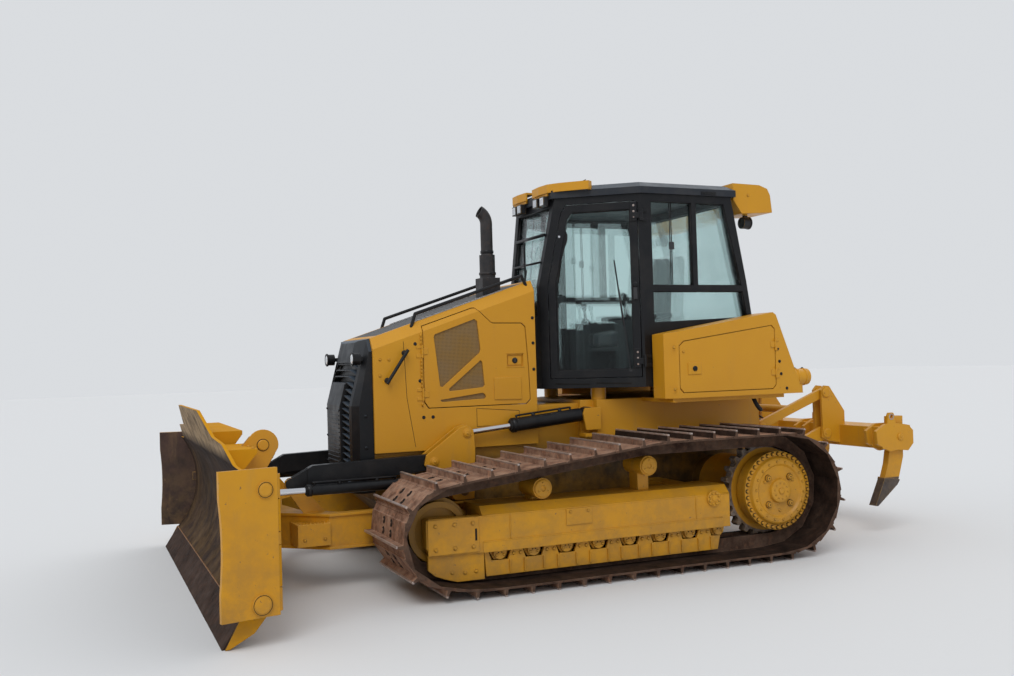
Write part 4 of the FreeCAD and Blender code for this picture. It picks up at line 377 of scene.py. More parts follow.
M = {
    "yellow": yellow_paint(),
    "clean_yellow": yellow_paint("clean_yellow_paint", dirt=0.3),
    "sprocket": yellow_paint("sprocket_paint", second=sprocket_look),
    "shank": yellow_paint("shank_paint", second=shank_look),
    "pods": yellow_paint("pod_paint", dirt=0.25, second=pod_look),
    "blade": yellow_paint("blade_paint", second=blade_look, dirt=0.8, coat=0.0, shine=0.08,
                          rough=(0.70, 0.90)),
    "frame": yellow_paint("frame_paint_grime_and_shade", second=frame_grime_and_shade),
    # the idler's paint is a darker copy of the yellow: painted shade
    "idler": yellow_paint("shaded_idler_paint", (0.36, 0.17, 0.008)),
    "wing_left": yellow_paint("wing_paint_left", second=wing_look(-0.4, -0.6), coat=0.0),
    "wing_right": yellow_paint("wing_paint_right", second=wing_look(0.4, 0.6), coat=0.0),
    "black": plain_paint("black_paint", (0.0070, 0.0075, 0.0090), 0.36, 0.14),
    # guard, roof and deck: the fifth value is a painted sky reflection on faces turned upwards
    "guard": plain_paint("guard_paint", (0.0060, 0.0065, 0.0080), 0.42, 0.14, (0.070, 0.090, 0.115)),
    "roof": plain_paint("roof_paint", (0.022, 0.026, 0.033), 0.45, 0.25, (0.085, 0.098, 0.112)),
    "deck": plain_paint("deck_paint", (0.035, 0.034, 0.033), 0.6, 0.35, (0.09, 0.09, 0.09)),
    "rubber": plain_paint("black_rubber", (0.014, 0.014, 0.015), 0.72, 0.25),
    # near-black for pockets, slots, grooves and holes: painted shade; it also draws the dark joint lines of the hood's
    # seams
    "recess_shade": plain_paint("painted_recess_shade", (0.010, 0.009, 0.008), 0.9, 0.3, None, (0.05, 0.035, 0.03)),
    "plastic": plain_paint("grey_plastic", (0.040, 0.041, 0.044), 0.6, 0.15),
    "track": rusty_steel("track_steel", (0.105, 0.045, 0.028), (0.400, 0.250, 0.170), 0.0, 0.78, 9.0, track_painted_shade,
                         0.12),
    "worn": rusty_steel("worn_steel", (0.27, 0.19, 0.16), (0.50, 0.43, 0.39), 0.55, 0.42, 14.0),
    "edge": rusty_steel("edge_steel", (0.022, 0.014, 0.011), (0.072, 0.046, 0.035), 0.0, 0.80, 5.0, None, 0.06),
    "tip": rusty_steel("tip_steel", (0.05, 0.038, 0.034), (0.12, 0.09, 0.08), 0.5, 0.5),
    "exhaust": rusty_steel("exhaust_steel", (0.022, 0.022, 0.024), (0.055, 0.048, 0.045), 0.35, 0.5),
    "rust_line": rusty_steel("rust_line", (0.10, 0.045, 0.02), (0.34, 0.17, 0.07), 0.0, 0.7, 14.0),
    "chrome": chrome(),
    "glass": clear_glass(),
    "lens": lamp_lens(),
    "mesh": dotted("vent_mesh", (0.270, 0.145, 0.026), (0.060, 0.034, 0.012), 95.0, 0.65, 0.0),
    "strip": dotted("tread_plate", (0.46, 0.46, 0.46), (0.30, 0.30, 0.30), 60.0, 0.45, 0.6),
    "seat": seat_cloth(),
}

LOOKS = {
    "frame": ["main_frame"],
    "idler": ["idler"],
    "yellow": ["c_frame", "blade_yoke", "ripper_arm", "ripper_link", "ripper_beam", "track_frame",
               "rollers", "lift_lever"],
    "wing_left": ["wing_left"],
    "wing_right": ["wing_right"],
    "clean_yellow": ["hood", "hood_door", "fender", "fender_door"],
    "pods": ["roof_pods"],
    "shank": ["ripper_shanks"],
    "sprocket": ["sprocket"],
    "black": ["tilt_barrel", "ripper_barrel", "lift_link", "lift_barrel", "angle_barrel", "hand_rails", "cab_shell", "cab_door",
              "head_lamps"],
    "guard": ["radiator_guard"],
    "roof": ["cab_roof"],
    "deck": ["hood_deck", "engine_block"],
    "track": ["track"],
    "blade": ["blade"],
    "edge": ["cutting_edge"],
    "exhaust": ["exhaust_stack"],
    "chrome": ["lift_rod", "angle_rod", "tilt_rod", "ripper_rod"],
    "glass": ["cab_glass", "cab_door_glass"],
    "plastic": ["console"],
    "seat": ["seat"],
}


def dress_nodes():
    look_of = {stem: look for look, stems in LOOKS.items() for stem in stems}
    for name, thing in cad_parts.items():
        stem = name
        for end in ("_left", "_right"):
            if stem.endswith(end) and stem not in look_of:
                stem = stem[:-len(end)]
        thing.data.materials.clear()
        thing.data.materials.append(M[look_of[stem]])


# Stage: pale floor, soft light

def put_stage():
    mesh = bpy.data.meshes.new("floor")
    half = 60.0
    mesh.from_pydata([(-half, -half, 0), (half, -half, 0), (half, half, 0), (-half, half, 0)], [], [(0, 1, 2, 3)])
    floor = bpy.data.objects.new("floor", mesh)
    scene.collection.objects.link(floor)
    material, tree, shader = new_material("floor", (0.74, 0.74, 0.735), 0.0, 0.9)
    mesh.materials.append(material)
    world = bpy.data.worlds.new("world")
    scene.world = world
    world.use_nodes = True
    nodes, links = world.node_tree.nodes, world.node_tree.links
    soft = nodes["Background"]
    soft.inputs["Color"].default_value = (0.90, 0.94, 1.0, 1.0)
    soft.inputs["Strength"].default_value = 0.62
    pale = nodes.new("ShaderNodeBackground")
    pale.inputs["Color"].default_value = (0.70, 0.72, 0.745, 1.0)
    pale.inputs["Strength"].default_value = 1.0
    path = nodes.new("ShaderNodeLightPath")
    either = nodes.new("ShaderNodeMath")
    either.operation = "MAXIMUM"
    links.new(path.outputs["Is Camera Ray"], either.inputs[0])
    links.new(path.outputs["Is Transmission Ray"], either.inputs[1])
    choose = nodes.new("ShaderNodeMixShader")
    links.new(either.outputs["Value"], choose.inputs["Fac"])
    links.new(soft.outputs["Background"], choose.inputs[1])
    links.new(pale.outputs["Background"], choose.inputs[2])
    links.new(choose.outputs["Shader"], nodes["World Output"].inputs["Surface"])
    # name, direction that the light comes from, strength, softness in degrees
    for name, place, power, softness in (("key", (4.0, 6.5, 9.0), 1.05, 35.0), ("fill", (7.0, -2.0, 5.0), 0.35, 60.0),
                                         ("rim", (-6.0, -4.0, 7.0), 0.40, 50.0)):
        data = bpy.data.lights.new(name, "SUN")
        data.energy = power
        data.angle = math.radians(softness)
        lamp = bpy.data.objects.new(name, data)
        lamp.location = place
        lamp.rotation_euler = (-Vector(place)).to_track_quat("-Z", "Y").to_euler()
        scene.collection.objects.link(lamp)
    scene.view_settings.view_transform = "Standard"


# Geometry helpers: each piece is built as one Form, whose faces carry their looks

def basis(out):
    # the columns are two directions across and the direction out
    axis = Vector(out).normalized()
    across = Vector((0, 0, 1)).cross(axis)
    if across.length < 1e-4:
        across = Vector((1, 0, 0))
    across.normalize()
    return Matrix((across, axis.cross(across), axis)).transposed()


class Form:
    def __init__(self):
        self.mesh = bmesh.new()
        self.looks = []

    def paint(self, faces, look, smooth=False):
        if look not in self.looks:
            self.looks.append(look)
        for one in faces:
            one.material_index = self.looks.index(look)
            one.smooth = smooth

    def turned(self, profile, place, out, look, sides=24, smooth=False, closed=False):
        # profile: radius and height along out, from the foot to the top
        turn = basis(out)
        place = Vector(place)
        rings = []
        for radius, height in profile:
            ring = []
            for i in range(sides if radius > 1e-6 else 1):
                angle = 2 * math.pi * i / sides
                spot = Vector((radius * math.cos(angle), radius * math.sin(angle), height))
                ring.append(self.mesh.verts.new(place + turn @ spot))
            rings.append(ring)
        pairs = list(zip(rings[:-1], rings[1:]))
        if closed:
            pairs.append((rings[-1], rings[0]))
        faces = []
        for low, high in pairs:
            for i in range(sides):
                j = (i + 1) % sides
                corners = [low[i % len(low)], low[j % len(low)], high[j % len(high)], high[i % len(high)]]
                corners = list(dict.fromkeys(corners))
                if len(corners) > 2:
                    faces.append(self.mesh.faces.new(corners))
        if not closed:
            if len(rings[0]) > 1:
                faces.append(self.mesh.faces.new(list(reversed(rings[0]))))
            if len(rings[-1]) > 1:
                faces.append(self.mesh.faces.new(rings[-1]))
        self.paint(faces, look, smooth)

    def extruded(self, outline, place, right, up, depth, look, bevel=0.0):
        # outline in the plane of right and up, pushed towards right x up
        right = Vector(right).normalized()
        up = Vector(up).normalized()
        out = right.cross(up)
        place = Vector(place)
        area = sum(a[0] * b[1] - b[0] * a[1] for a, b in zip(outline, outline[1:] + outline[:1]))
        points = outline if area > 0 else list(reversed(outline))
        low = [self.mesh.verts.new(place + right * u + up * v) for u, v in points]
        high = [self.mesh.verts.new(spot.co + out * depth) for spot in low]
        faces = [self.mesh.faces.new(list(reversed(low))), self.mesh.faces.new(high)]
        for i in range(len(low)):
            j = (i + 1) % len(low)
            faces.append(self.mesh.faces.new([low[i], low[j], high[j], high[i]]))
        self.paint(faces, look)
        if bevel:
            edges = list(faces[1].edges)
            result = bmesh.ops.bevel(self.mesh, geom=edges, offset=bevel, segments=2, affect="EDGES",
                                     profile=0.6, clamp_overlap=True)
            self.paint([one for one in faces if one.is_valid] + list(result["faces"]), look)

    def block(self, low, high, look, bevel=0.003):
        width, length = high[0] - low[0], high[1] - low[1]
        self.extruded([(0, 0), (width, 0), (width, length), (0, length)], low, (1, 0, 0), (0, 1, 0),
                      high[2] - low[2], look, min(bevel, width / 3, length / 3))

    def swept(self, points, radius, look, sides=10, steps=5, flat=1.0):
        # round bar along a smooth line through the points
        line = []
        spots = [Vector(one) for one in points]
        for i in range(len(spots) - 1):
            before, start = spots[max(i - 1, 0)], spots[i]
            end, after = spots[i + 1], spots[min(i + 2, len(spots) - 1)]
            count = steps if len(spots) > 2 else 1
            for k in range(count):
                t = k / count
                line.append(0.5 * (2 * start + (end - before) * t + (2 * before - 5 * start + 4 * end - after) * t * t
                                   + (3 * start - before - 3 * end + after) * t ** 3))
        line.append(spots[-1])
        across = None
        rings = []
        for i, spot in enumerate(line):
            ahead = (line[min(i + 1, len(line) - 1)] - line[max(i - 1, 0)]).normalized()
            if across is None:
                across = basis(ahead).col[0]
            across = (across - ahead * across.dot(ahead)).normalized()
            other = ahead.cross(across)
            ring = []
            for k in range(sides):
                angle = 2 * math.pi * k / sides
                ring.append(self.mesh.verts.new(spot + across * radius * math.cos(angle)
                                                + other * radius * flat * math.sin(angle)))
            rings.append(ring)
        faces = []
        for low, high in zip(rings[:-1], rings[1:]):
            for i in range(sides):
                j = (i + 1) % sides
                faces.append(self.mesh.faces.new([low[i], low[j], high[j], high[i]]))
        self.paint(faces, look, True)
        ends = [self.mesh.faces.new(list(reversed(rings[0]))), self.mesh.faces.new(rings[-1])]
        self.paint(ends, look)

    def bolt(self, place, out, size, look="yellow", sides=6):
        # washer and six-sided head, size is the head's radius
        self.turned([(size * 1.45, 0.0), (size * 1.45, size * 0.16), (size * 1.05, size * 0.18)], place, out, look, 12)
        self.turned([(size, size * 0.1), (size, size * 0.75), (size * 0.82, size * 0.9), (0.0, size * 0.9)],
                    place, out, look, sides)

    def done(self, name, body):
        mesh = bpy.data.meshes.new(name)
        bmesh.ops.recalc_face_normals(self.mesh, faces=self.mesh.faces)
        self.mesh.to_mesh(mesh)
        self.mesh.free()
        for look in self.looks:
            mesh.materials.append(M[look])
        piece = bpy.data.objects.new(name, mesh)
        scene.collection.objects.link(piece)
        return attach(piece, body)


# Sizes that the pieces share with the solids, in metres
GAUGE = 2.165
SHOE = 0.762
SHOE_TOP = 0.065
TIP = 0.114
IDLER = (1.425, 0.42, 0.276)
SPROCKET = (-1.306, 0.50, 0.386)
KNEE = (1.18, TIP)
CREST = (-0.193, 0.886)
PITCH = 0.1944
FRAME_FACE = GAUGE / 2 + 0.2025
HUB_FACE = GAUGE / 2 + 0.2175
ARM_INNER = GAUGE / 2 - SHOE / 2 - 0.1015
LEVER_MIDDLE = ARM_INNER - 0.0725
HOOD_SIDE = 0.46
HOOD_REAR, HOOD_FRONT = (0.33, 2.18), (1.64, 1.75)
CAB_CORNER = Vector((0.205, 0.290, 0.0))
CAB_HINGE = Vector((-0.450, 0.800, 0.0))
FENDER_FACE = 1.05


def hood_top(x):
    share = (x - HOOD_REAR[0]) / (HOOD_FRONT[0] - HOOD_REAR[0])
    return HOOD_REAR[1] + share * (HOOD_FRONT[1] - HOOD_REAR[1])


# Tracks: bolts in pockets of painted shade on each shoe, and the bright worn line on each grouser

def tangent(circle, point, upper):
    dx, dz = point[0] - circle[0], point[1] - circle[1]
    reach = math.hypot(dx, dz)
    swing = math.atan2(math.sqrt(reach ** 2 - circle[2] ** 2), circle[2])
    return math.atan2(dz, dx) + (-swing if upper else swing)


def track_pins():
    low, high = tangent(IDLER, KNEE, False), tangent(IDLER, CREST, True)
    low = low if low < 0 else low - 2 * math.pi
    high = high if high > 0 else high + 2 * math.pi

    def on_idler(angle):
        return IDLER[0] + IDLER[2] * math.cos(angle), IDLER[1] + IDLER[2] * math.sin(angle)

    runs = [((SPROCKET[0], TIP), KNEE), (KNEE, on_idler(low)), (IDLER, low, high), (on_idler(high), CREST),
            (CREST, (SPROCKET[0], CREST[1])), (SPROCKET, math.pi / 2, 3 * math.pi / 2)]

    def length_of(run):
        if len(run) == 2:
            return math.hypot(run[1][0] - run[0][0], run[1][1] - run[0][1])
        return run[0][2] * (run[2] - run[1])

    total = sum(length_of(run) for run in runs)
    count = int(total / PITCH + 0.5)
    pins = []
    for i in range(count):
        distance = total * i / count
        for run in runs:
            length = length_of(run)
            if distance <= length:
                share = distance / length
                if len(run) == 2:
                    pins.append((run[0][0] + share * (run[1][0] - run[0][0]), run[0][1] + share * (run[1][1] - run[0][1])))
                else:
                    angle = run[1] + share * (run[2] - run[1])
                    pins.append((run[0][0] + run[0][2] * math.cos(angle), run[0][1] + run[0][2] * math.sin(angle)))
                break
            distance -= length
    return pins


def carrier_height(x):
    # underside of the chain between the idler and the crest
    angle = tangent(IDLER, CREST, True)
    x0, z0 = IDLER[0] + IDLER[2] * math.cos(angle), IDLER[1] + IDLER[2] * math.sin(angle)
    share = max(0.0, (x - x0) / (CREST[0] - x0))
    return z0 + min(share, 1.0) * (CREST[1] - z0) - 0.051


def dress_tracks():
    pins = track_pins()
    for name, side in SIDES:
        bolts, wear_and_highlight = Form(), Form()
        middle = side * GAUGE / 2
        for i, start in enumerate(pins):
            end = pins[(i + 1) % len(pins)]
            length = math.hypot(end[0] - start[0], end[1] - start[1])
            along = Vector(((end[0] - start[0]) / length, 0.0, (end[1] - start[1]) / length))
            out = Vector((along.z, 0.0, -along.x))
            foot = Vector((start[0], middle, start[1]))
            for share in (0.42, 0.78):
                for y in (-0.0845, 0.0845):
                    spot = foot + along * (share * length) + out * (SHOE_TOP - 0.001) + Vector((0, y, 0))
                    # dark disc of painted shade round each bolt, standing for its pocket
                    bolts.turned([(0.026, 0.0), (0.026, 0.002), (0.020, 0.0025), (0.016, 0.0022)], spot, out, "recess_shade", 14)
                    bolts.turned([(0.0125, 0.002), (0.0125, 0.010), (0.010, 0.012), (0.0, 0.012)], spot, out, "track", 6)
            tip = foot + along * (0.1669 * length) + out * (TIP - 0.011)
            half = SHOE / 2 + 0.0006
            across = 0.0078
            wear_and_highlight.extruded([(-half, -across), (half, -across), (half, across), (-half, across)], tip,
                          (0, 1, 0), tuple(along), 0.0113, "worn", 0.0022)
        bolts.done("track_bolts_" + name, "chassis")
        wear_and_highlight.done("grouser_tips_" + name, "chassis")


# Undercarriage

def dress_undercarriage():
    for name, side in SIDES:
        out = (0, side, 0)
        form = Form()
        cap_y = GAUGE / 2 + 0.107 + 0.074
        for i in range(8):
            x = 1.010 - i * 1.77 / 7
            for angle in (90, 210, 330):
                spot = (x + 0.031 * math.cos(math.radians(angle)), side * cap_y, 0.2573 + 0.031 * math.sin(math.radians(angle)))
                form.bolt(spot, out, 0.0075)
            for dx in (-0.012, 0.012):
                # small dark discs of painted shade for holes in the cap
                form.turned([(0.004, 0.0), (0.004, 0.003), (0.0, 0.003)], (x + dx, side * cap_y, 0.257), out, "recess_shade", 8)
        # guard plate: ribs and bolts on the tabs between the rollers
        guard_y = side * (FRAME_FACE - 0.026)
        for i in range(7):
            x = 1.010 - (i + 0.5) * 1.77 / 7
            for dx in (-0.026, 0.026):
                form.bolt((x + dx, guard_y, 0.243), out, 0.0095)
            low = [min(guard_y, guard_y + side * 0.012), max(guard_y, guard_y + side * 0.012)]
            for dx in (-0.058, 0.050):
                form.block((x + dx, low[0], 0.118), (x + dx + 0.008, low[1], 0.204), "yellow", 0.002)
        # bolted covers: face height above the frame's side, then X and Z of each bolt
        covers = [(0.010, 0.011, [(1.215, 0.478), (1.345, 0.478), (1.480, 0.478), (1.215, 0.322), (1.345, 0.322), (1.480, 0.322)]),
                  (0.008, 0.008, [(0.345, 0.49), (0.483, 0.49)]),
                  (-0.018, 0.010, [(1.19, 0.150), (1.27, 0.150), (1.36, 0.158)])]
        for proud, size, spots in covers:
            for x, z in spots:
                form.bolt((x, side * (FRAME_FACE + proud), z), out, size)
        for x in (0.936, -0.556):
            form.swept([(x, side * (FRAME_FACE + 0.001), 0.347), (x + 0.002, side * (FRAME_FACE + 0.002), 0.43),
                        (x - 0.001, side * (FRAME_FACE + 0.001), 0.516)], 0.0045, "yellow", 6)
        # dark slot of painted shade
        form.block((1.186, min(side * 1.2955, side * 1.2965), 0.36), (1.200, max(side * 1.2955, side * 1.2965), 0.44), "recess_shade", 0.0)
        # pivot cap
        pivot_y = side * (FRAME_FACE + 0.016)
        for i in range(8):
            angle = 2 * math.pi * (i + 0.5) / 8
            form.bolt((-0.706 + 0.042 * math.cos(angle), pivot_y, 0.490 + 0.042 * math.sin(angle)), out, 0.0085)
        form.turned([(0.022, 0.0), (0.022, 0.004), (0.014, 0.006), (0.0, 0.006)], (-0.706, pivot_y, 0.490), out, "yellow", 24)
        # end caps of the carrier rollers
        for x in (0.663, -0.193):
            z = carrier_height(x) - 0.075
            y = side * (GAUGE / 2 + 0.147)
            form.turned([(0.062, 0.0), (0.062, 0.007), (0.055, 0.012), (0.020, 0.013), (0.016, 0.006), (0.0, 0.006)],
                        (x, y, z), out, "yellow", 32)
            for i in range(3):
                angle = math.radians(90 + 120 * i)
                form.bolt((x + 0.040 * math.cos(angle), y + side * 0.012, z + 0.040 * math.sin(angle)), out, 0.006)
        # rounded edges that catch the light: the ridge of the frame's beam and the top of its ledge
        for rear, y, z, radius in ((-0.848, -0.0064, 0.5154, 0.0085), (-0.778, 0.0040, 0.3420, 0.0055)):
            form.swept([(x, side * (FRAME_FACE + y), z) for x in (rear, 0.1, 1.139)], radius, "yellow", 12)
        form.done("undercarriage_bolts_" + name, "chassis")
        # final drive: rim bolts, the ring inside them, the centre and the four bosses
        hub = Form()
        rings = [(0.2215, 18, 0.0075, -0.001, 6), (0.060, 10, 0.0045, 0.0155, 6), (0.150, 3, 0.010, -0.0145, 12)]
        for i in range(36):
            # each rim bolt stands on a dark disc of painted shade that stands for its pocket
            angle = 2 * math.pi * (i + 0.25) / 36
            spot = (SPROCKET[0] + 0.281 * math.cos(angle), side * (HUB_FACE - 0.0325),
                    SPROCKET[1] + 0.281 * math.sin(angle))
            hub.turned([(0.0160, 0.0), (0.0160, 0.003), (0.0, 0.003)], spot, out, "recess_shade", 12)
            hub.turned([(0.0112, 0.002), (0.0112, 0.013), (0.0090, 0.0155), (0.0, 0.0155)], spot, out, "yellow", 6)
        for radius, count, size, proud, sides in rings:
            for i in range(count):
                angle = 2 * math.pi * (i + 0.25) / count
                hub.bolt((SPROCKET[0] + radius * math.cos(angle), side * (HUB_FACE + proud),
                          SPROCKET[1] + radius * math.sin(angle)), out, size, "yellow", sides)
        for angle in (45, 135, 225, 315):
            spot = (SPROCKET[0] + 0.142 * math.cos(math.radians(angle)), side * (HUB_FACE + 0.0015),
                    SPROCKET[1] + 0.142 * math.sin(math.radians(angle)))
            # dark rings of painted shade round each boss and at its foot, and a dark socket in its top
            hub.turned([(0.0205, 0.0), (0.0205, 0.0012), (0.0, 0.0012)], spot, out, "recess_shade", 20)
            hub.turned([(0.017, 0.0), (0.017, 0.004), (0.011, 0.005), (0.0, 0.005)], spot, out, "yellow", 20)
            foot = (spot[0], side * (HUB_FACE - 0.0145), spot[2])
            hub.turned([(0.0285, 0.0), (0.0285, 0.0015), (0.0200, 0.0015)], foot, out, "recess_shade", 20)
            hub.turned([(0.006, 0.0045), (0.006, 0.0056), (0.0, 0.0056)], spot, out, "recess_shade", 6)
        hub.turned([(0.024, 0.0), (0.024, 0.006), (0.018, 0.010), (0.0, 0.010)],
                   (SPROCKET[0], side * (HUB_FACE + 0.0155), SPROCKET[1]), out, "yellow", 24)
        hub.done("final_drive_bolts_" + name, "chassis")


# Hood and its doors

VENTS = [[(1.166, 1.750), (1.158, 1.768), (0.836, 1.880), (0.815, 1.862), (0.793, 1.648), (0.802, 1.622),
          (1.105, 1.372), (1.126, 1.378)],
         [(1.052, 1.338), (1.056, 1.356), (0.796, 1.564), (0.782, 1.552), (0.766, 1.376), (0.778, 1.360)],
         [(1.110, 1.260), (1.126, 1.268), (1.122, 1.276), (0.786, 1.316), (0.768, 1.306), (0.758, 1.284), (0.768, 1.272)]]


def on_side(form, outline, y, side, depth, look, bevel=0.0):
    # plate on the machine's side, its outline in X and Z, standing outwards by depth
    points = [(-x * side, z) for x, z in outline]
    form.extruded(points, (0, side * y, 0), (-side, 0, 0), (0, 0, 1), depth, look, bevel)


def rectangle(x0, x1, z0, z1):
    return [(x0, z0), (x1, z0), (x1, z1), (x0, z1)]


def dress_hood():
    for name, side in SIDES:
        out = (0, side, 0)
        door = Form()
        for vent in VENTS:
            on_side(door, vent, HOOD_SIDE - 0.0138, side, 0.004, "mesh", 0.001)
        # latch in its recess, and a round lock
        on_side(door, rectangle(0.450, 0.565, 1.520, 1.592), HOOD_SIDE - 0.0155, side, 0.006, "clean_yellow", 0.003)
        door.turned([(0.022, 0.0), (0.022, 0.006), (0.018, 0.010), (0.0, 0.010)], (0.508, side * (HOOD_SIDE - 0.010), 1.556),
                    out, "black", 24)
        door.block((0.502, min(side * 0.459, side * 0.464), 1.540), (0.514, max(side * 0.459, side * 0.464), 1.572), "plastic", 0.002)
        # two thin grooves pressed above and below the latch
        for x0, x1, z0, z1 in ((0.432, 0.583, 1.502, 1.610),):
            line = [(x0, z0), (x1, z0), (x1, z1), (x0, z1), (x0, z0)]
            door.swept([(x, side * (HOOD_SIDE + 0.0005), z) for x, z in line[:2]], 0.0022, "clean_yellow", 6)
            door.swept([(x, side * (HOOD_SIDE + 0.0005), z) for x, z in line[2:4]], 0.0022, "clean_yellow", 6)
        door.done("hood_door_fittings_" + name, "hood_door_" + name)
        fixed = Form()
        # long hinge down the door's front edge
        z = 1.235
        while z < 1.75:
            if not (1.27 < z + 0.012 < 1.376 or 1.588 < z + 0.012 < 1.696):
                fixed.turned([(0.0065, 0.0), (0.0065, 0.024), (0.005, 0.0255), (0.0, 0.0255)],
                             (1.270, side * (HOOD_SIDE + 0.004), z), (0, 0, 1), "clean_yellow", 10, True)
            z += 0.027
        # black plugs down the front panel, small bolts near the guard and at the rear edge
        for x, z in ((1.314, 1.700), (1.283, 1.424), (1.262, 1.152), (1.189, 1.152)):
            fixed.turned([(0.013, 0.0), (0.013, 0.002), (0.009, 0.004), (0.0, 0.004)], (x, side * HOOD_SIDE, z), out, "rubber", 16)
        for x, z in ((1.587, 1.589), (1.519, 1.587), (1.590, 1.471)):
            fixed.bolt((x, side * HOOD_SIDE, z), out, 0.008, "clean_yellow")
        for x, z in ((0.352, 1.883), (0.352, 1.687), (0.352, 1.483)):
            fixed.bolt((x, side * HOOD_SIDE, z), out, 0.009, "black")
        # seams of the front panel and of the lower rear panel
        seams = [[(1.405, 1.72), (1.388, 1.30), (1.330, 0.935)], [(0.838, 1.200), (0.486, 1.168), (0.486, 1.062), (0.838, 1.062), (0.838, 1.200)]]
        for seam in seams:
            for a, b in zip(seam[:-1], seam[1:]):
                run = Vector((b[0] - a[0], 0, b[1] - a[1]))
                across = Vector((-run.z, 0, run.x)).normalized() * 0.0016
                fixed_line = [(a[0] + across.x, a[1] + across.z), (b[0] + across.x, b[1] + across.z),
                              (b[0] - across.x, b[1] - across.z), (a[0] - across.x, a[1] - across.z)]
                on_side(fixed, fixed_line, HOOD_SIDE - 0.001, side, 0.0018, "recess_shade")
        # painted shade behind the joint over the door
        fixed.block((0.43, min(side * 0.400, side * 0.408), 1.826), (0.74, max(side * 0.400, side * 0.408), 1.876), "recess_shade", 0.0)
        fixed.done("hood_trim_" + name, "chassis")
        # grab handle on rubber mounts
        handle = Form()
        low, high = Vector((1.552, 0, 1.412)), Vector((1.385, 0, 1.657))
        for end, inwards in ((low, high), (high, low)):
            step = (inwards - end).normalized() * 0.028
            handle.turned([(0.021, 0.0), (0.021, 0.010), (0.015, 0.016), (0.013, 0.046)],
                          (end.x + step.x, side * HOOD_SIDE, end.z + step.z), out, "rubber", 16)
        points = [low + (high - low) * share for share in (0.0, 0.12, 0.5, 0.88, 1.0)]
        handle.swept([(one.x, side * (HOOD_SIDE + 0.052), one.z) for one in points], 0.013, "black", 12)
        handle.done("grab_handle_" + name, "chassis")
        # perforated tread strip along the hood's top edge
        strip = Form()
        slope = Vector((HOOD_FRONT[0] - HOOD_REAR[0], 0, HOOD_FRONT[1] - HOOD_REAR[1])).normalized()
        rise = Vector((-slope.z, 0, slope.x))
        start = Vector((0.57, side * 0.350, hood_top(0.57)))
        long = 0.72
        strip.extruded([(0, -0.036), (long, -0.036), (long, 0.036), (0, 0.036)], start + rise * 0.0005, slope,
                       (0, 1, 0), 0.006, "strip", 0.0015)
        count = 21
        for i in range(count):
            for row in (-0.017, 0.017):
                spot = start + slope * (0.030 + (long - 0.06) * i / (count - 1)) + Vector((0, row, 0))
                oval = [(0.011 * math.cos(a), 0.006 * math.sin(a)) for a in [2 * math.pi * k / 12 for k in range(12)]]
                # each perforation is a dark oval of painted shade
                strip.extruded(oval, spot + rise * 0.0062, slope, (0, 1, 0), 0.0010, "recess_shade")
        strip.done("tread_strip_" + name, "chassis")
    # rain cap seam and clamps of the exhaust
    stack = Form()
    stack.turned([(0.0505, 0.0), (0.053, 0.002), (0.053, 0.022), (0.0505, 0.024)], (0.600, 0.170, 2.412), (0, 0, 1), "black", 28, True)
    stack.turned([(0.0655, 0.0), (0.068, 0.002), (0.068, 0.020), (0.0655, 0.022)], (0.600, 0.170, 2.240), (0, 0, 1), "exhaust", 28, True)
    stack.bolt((0.600, 0.236, 2.251), (0, 1, 0), 0.008, "black")
    stack.done("exhaust_clamps", "chassis")


# Radiator guard

def dress_guard():
    form = Form()
    # fine ribs across the lower centre panel, and bolts at its corners
    for i in range(13):
        z = 0.835 + i * 0.031
        form.block((1.833, -0.178, z), (1.8385, 0.178, z + 0.008), "guard", 0.002)
    for y in (-0.19, 0.19):
        for z in (0.825, 1.02, 1.225):
            form.bolt((1.8342, y, z), (1, 0, 0), 0.008, "guard")
    for side in (-1, 1):
        y = side * 0.400
        form.turned([(0.0395, 0.0), (0.0395, 0.004), (0.030, 0.010), (0.015, 0.0125), (0.0, 0.013)], (1.7762, y, 1.600),
                    (1, 0, 0), "lens", 28, True)
        form.turned([(0.049, 0.0), (0.051, 0.002), (0.051, 0.012), (0.049, 0.014), (0.0415, 0.014), (0.0415, 0.0)],
                    (1.7715, y, 1.600), (1, 0, 0), "black", 28, False, True)
        for z in (0.72, 0.95, 1.18):
            form.bolt((1.700, side * 0.4400, z), (0, side, 0), 0.010, "guard")
    form.done("guard_trim", "chassis")


# Cab: a point on the left door's plane is its distance back from the front corner, and its height

DOOR_ALONG = (CAB_HINGE - CAB_CORNER).normalized()
DOOR_OUT = Vector((-DOOR_ALONG.y, DOOR_ALONG.x, 0.0)) * -1.0


def door_axes(side):
    flip = Vector((1, side, 1))
    return (Vector([a * b for a, b in zip(DOOR_ALONG, flip)]), Vector([a * b for a, b in zip(DOOR_OUT, flip)]),
            Vector([a * b for a, b in zip(CAB_CORNER, flip)]))


def door_spot(s, z, proud, side):
    along, out, corner = door_axes(side)
    return corner + along * s + out * proud + Vector((0, 0, z))


def on_door(form, outline, proud, depth, side, look, bevel=0.0):
    along, out, corner = door_axes(side)
    points = [(s * side, z) for s, z in outline]
    form.extruded(points, corner + out * proud, along * side, (0, 0, 1), depth, look, bevel)


def strip_line(points, width):
    # closed outline of a band of even width along an open line of (s, z) points
    left, right = [], []
    for i, (s, z) in enumerate(points):
        before, after = points[max(i - 1, 0)], points[min(i + 1, len(points) - 1)]
        run = Vector((after[0] - before[0], after[1] - before[1])).normalized() * width / 2
        left.append((s - run.y, z + run.x))
        right.append((s + run.y, z - run.x))
    return left + list(reversed(right))


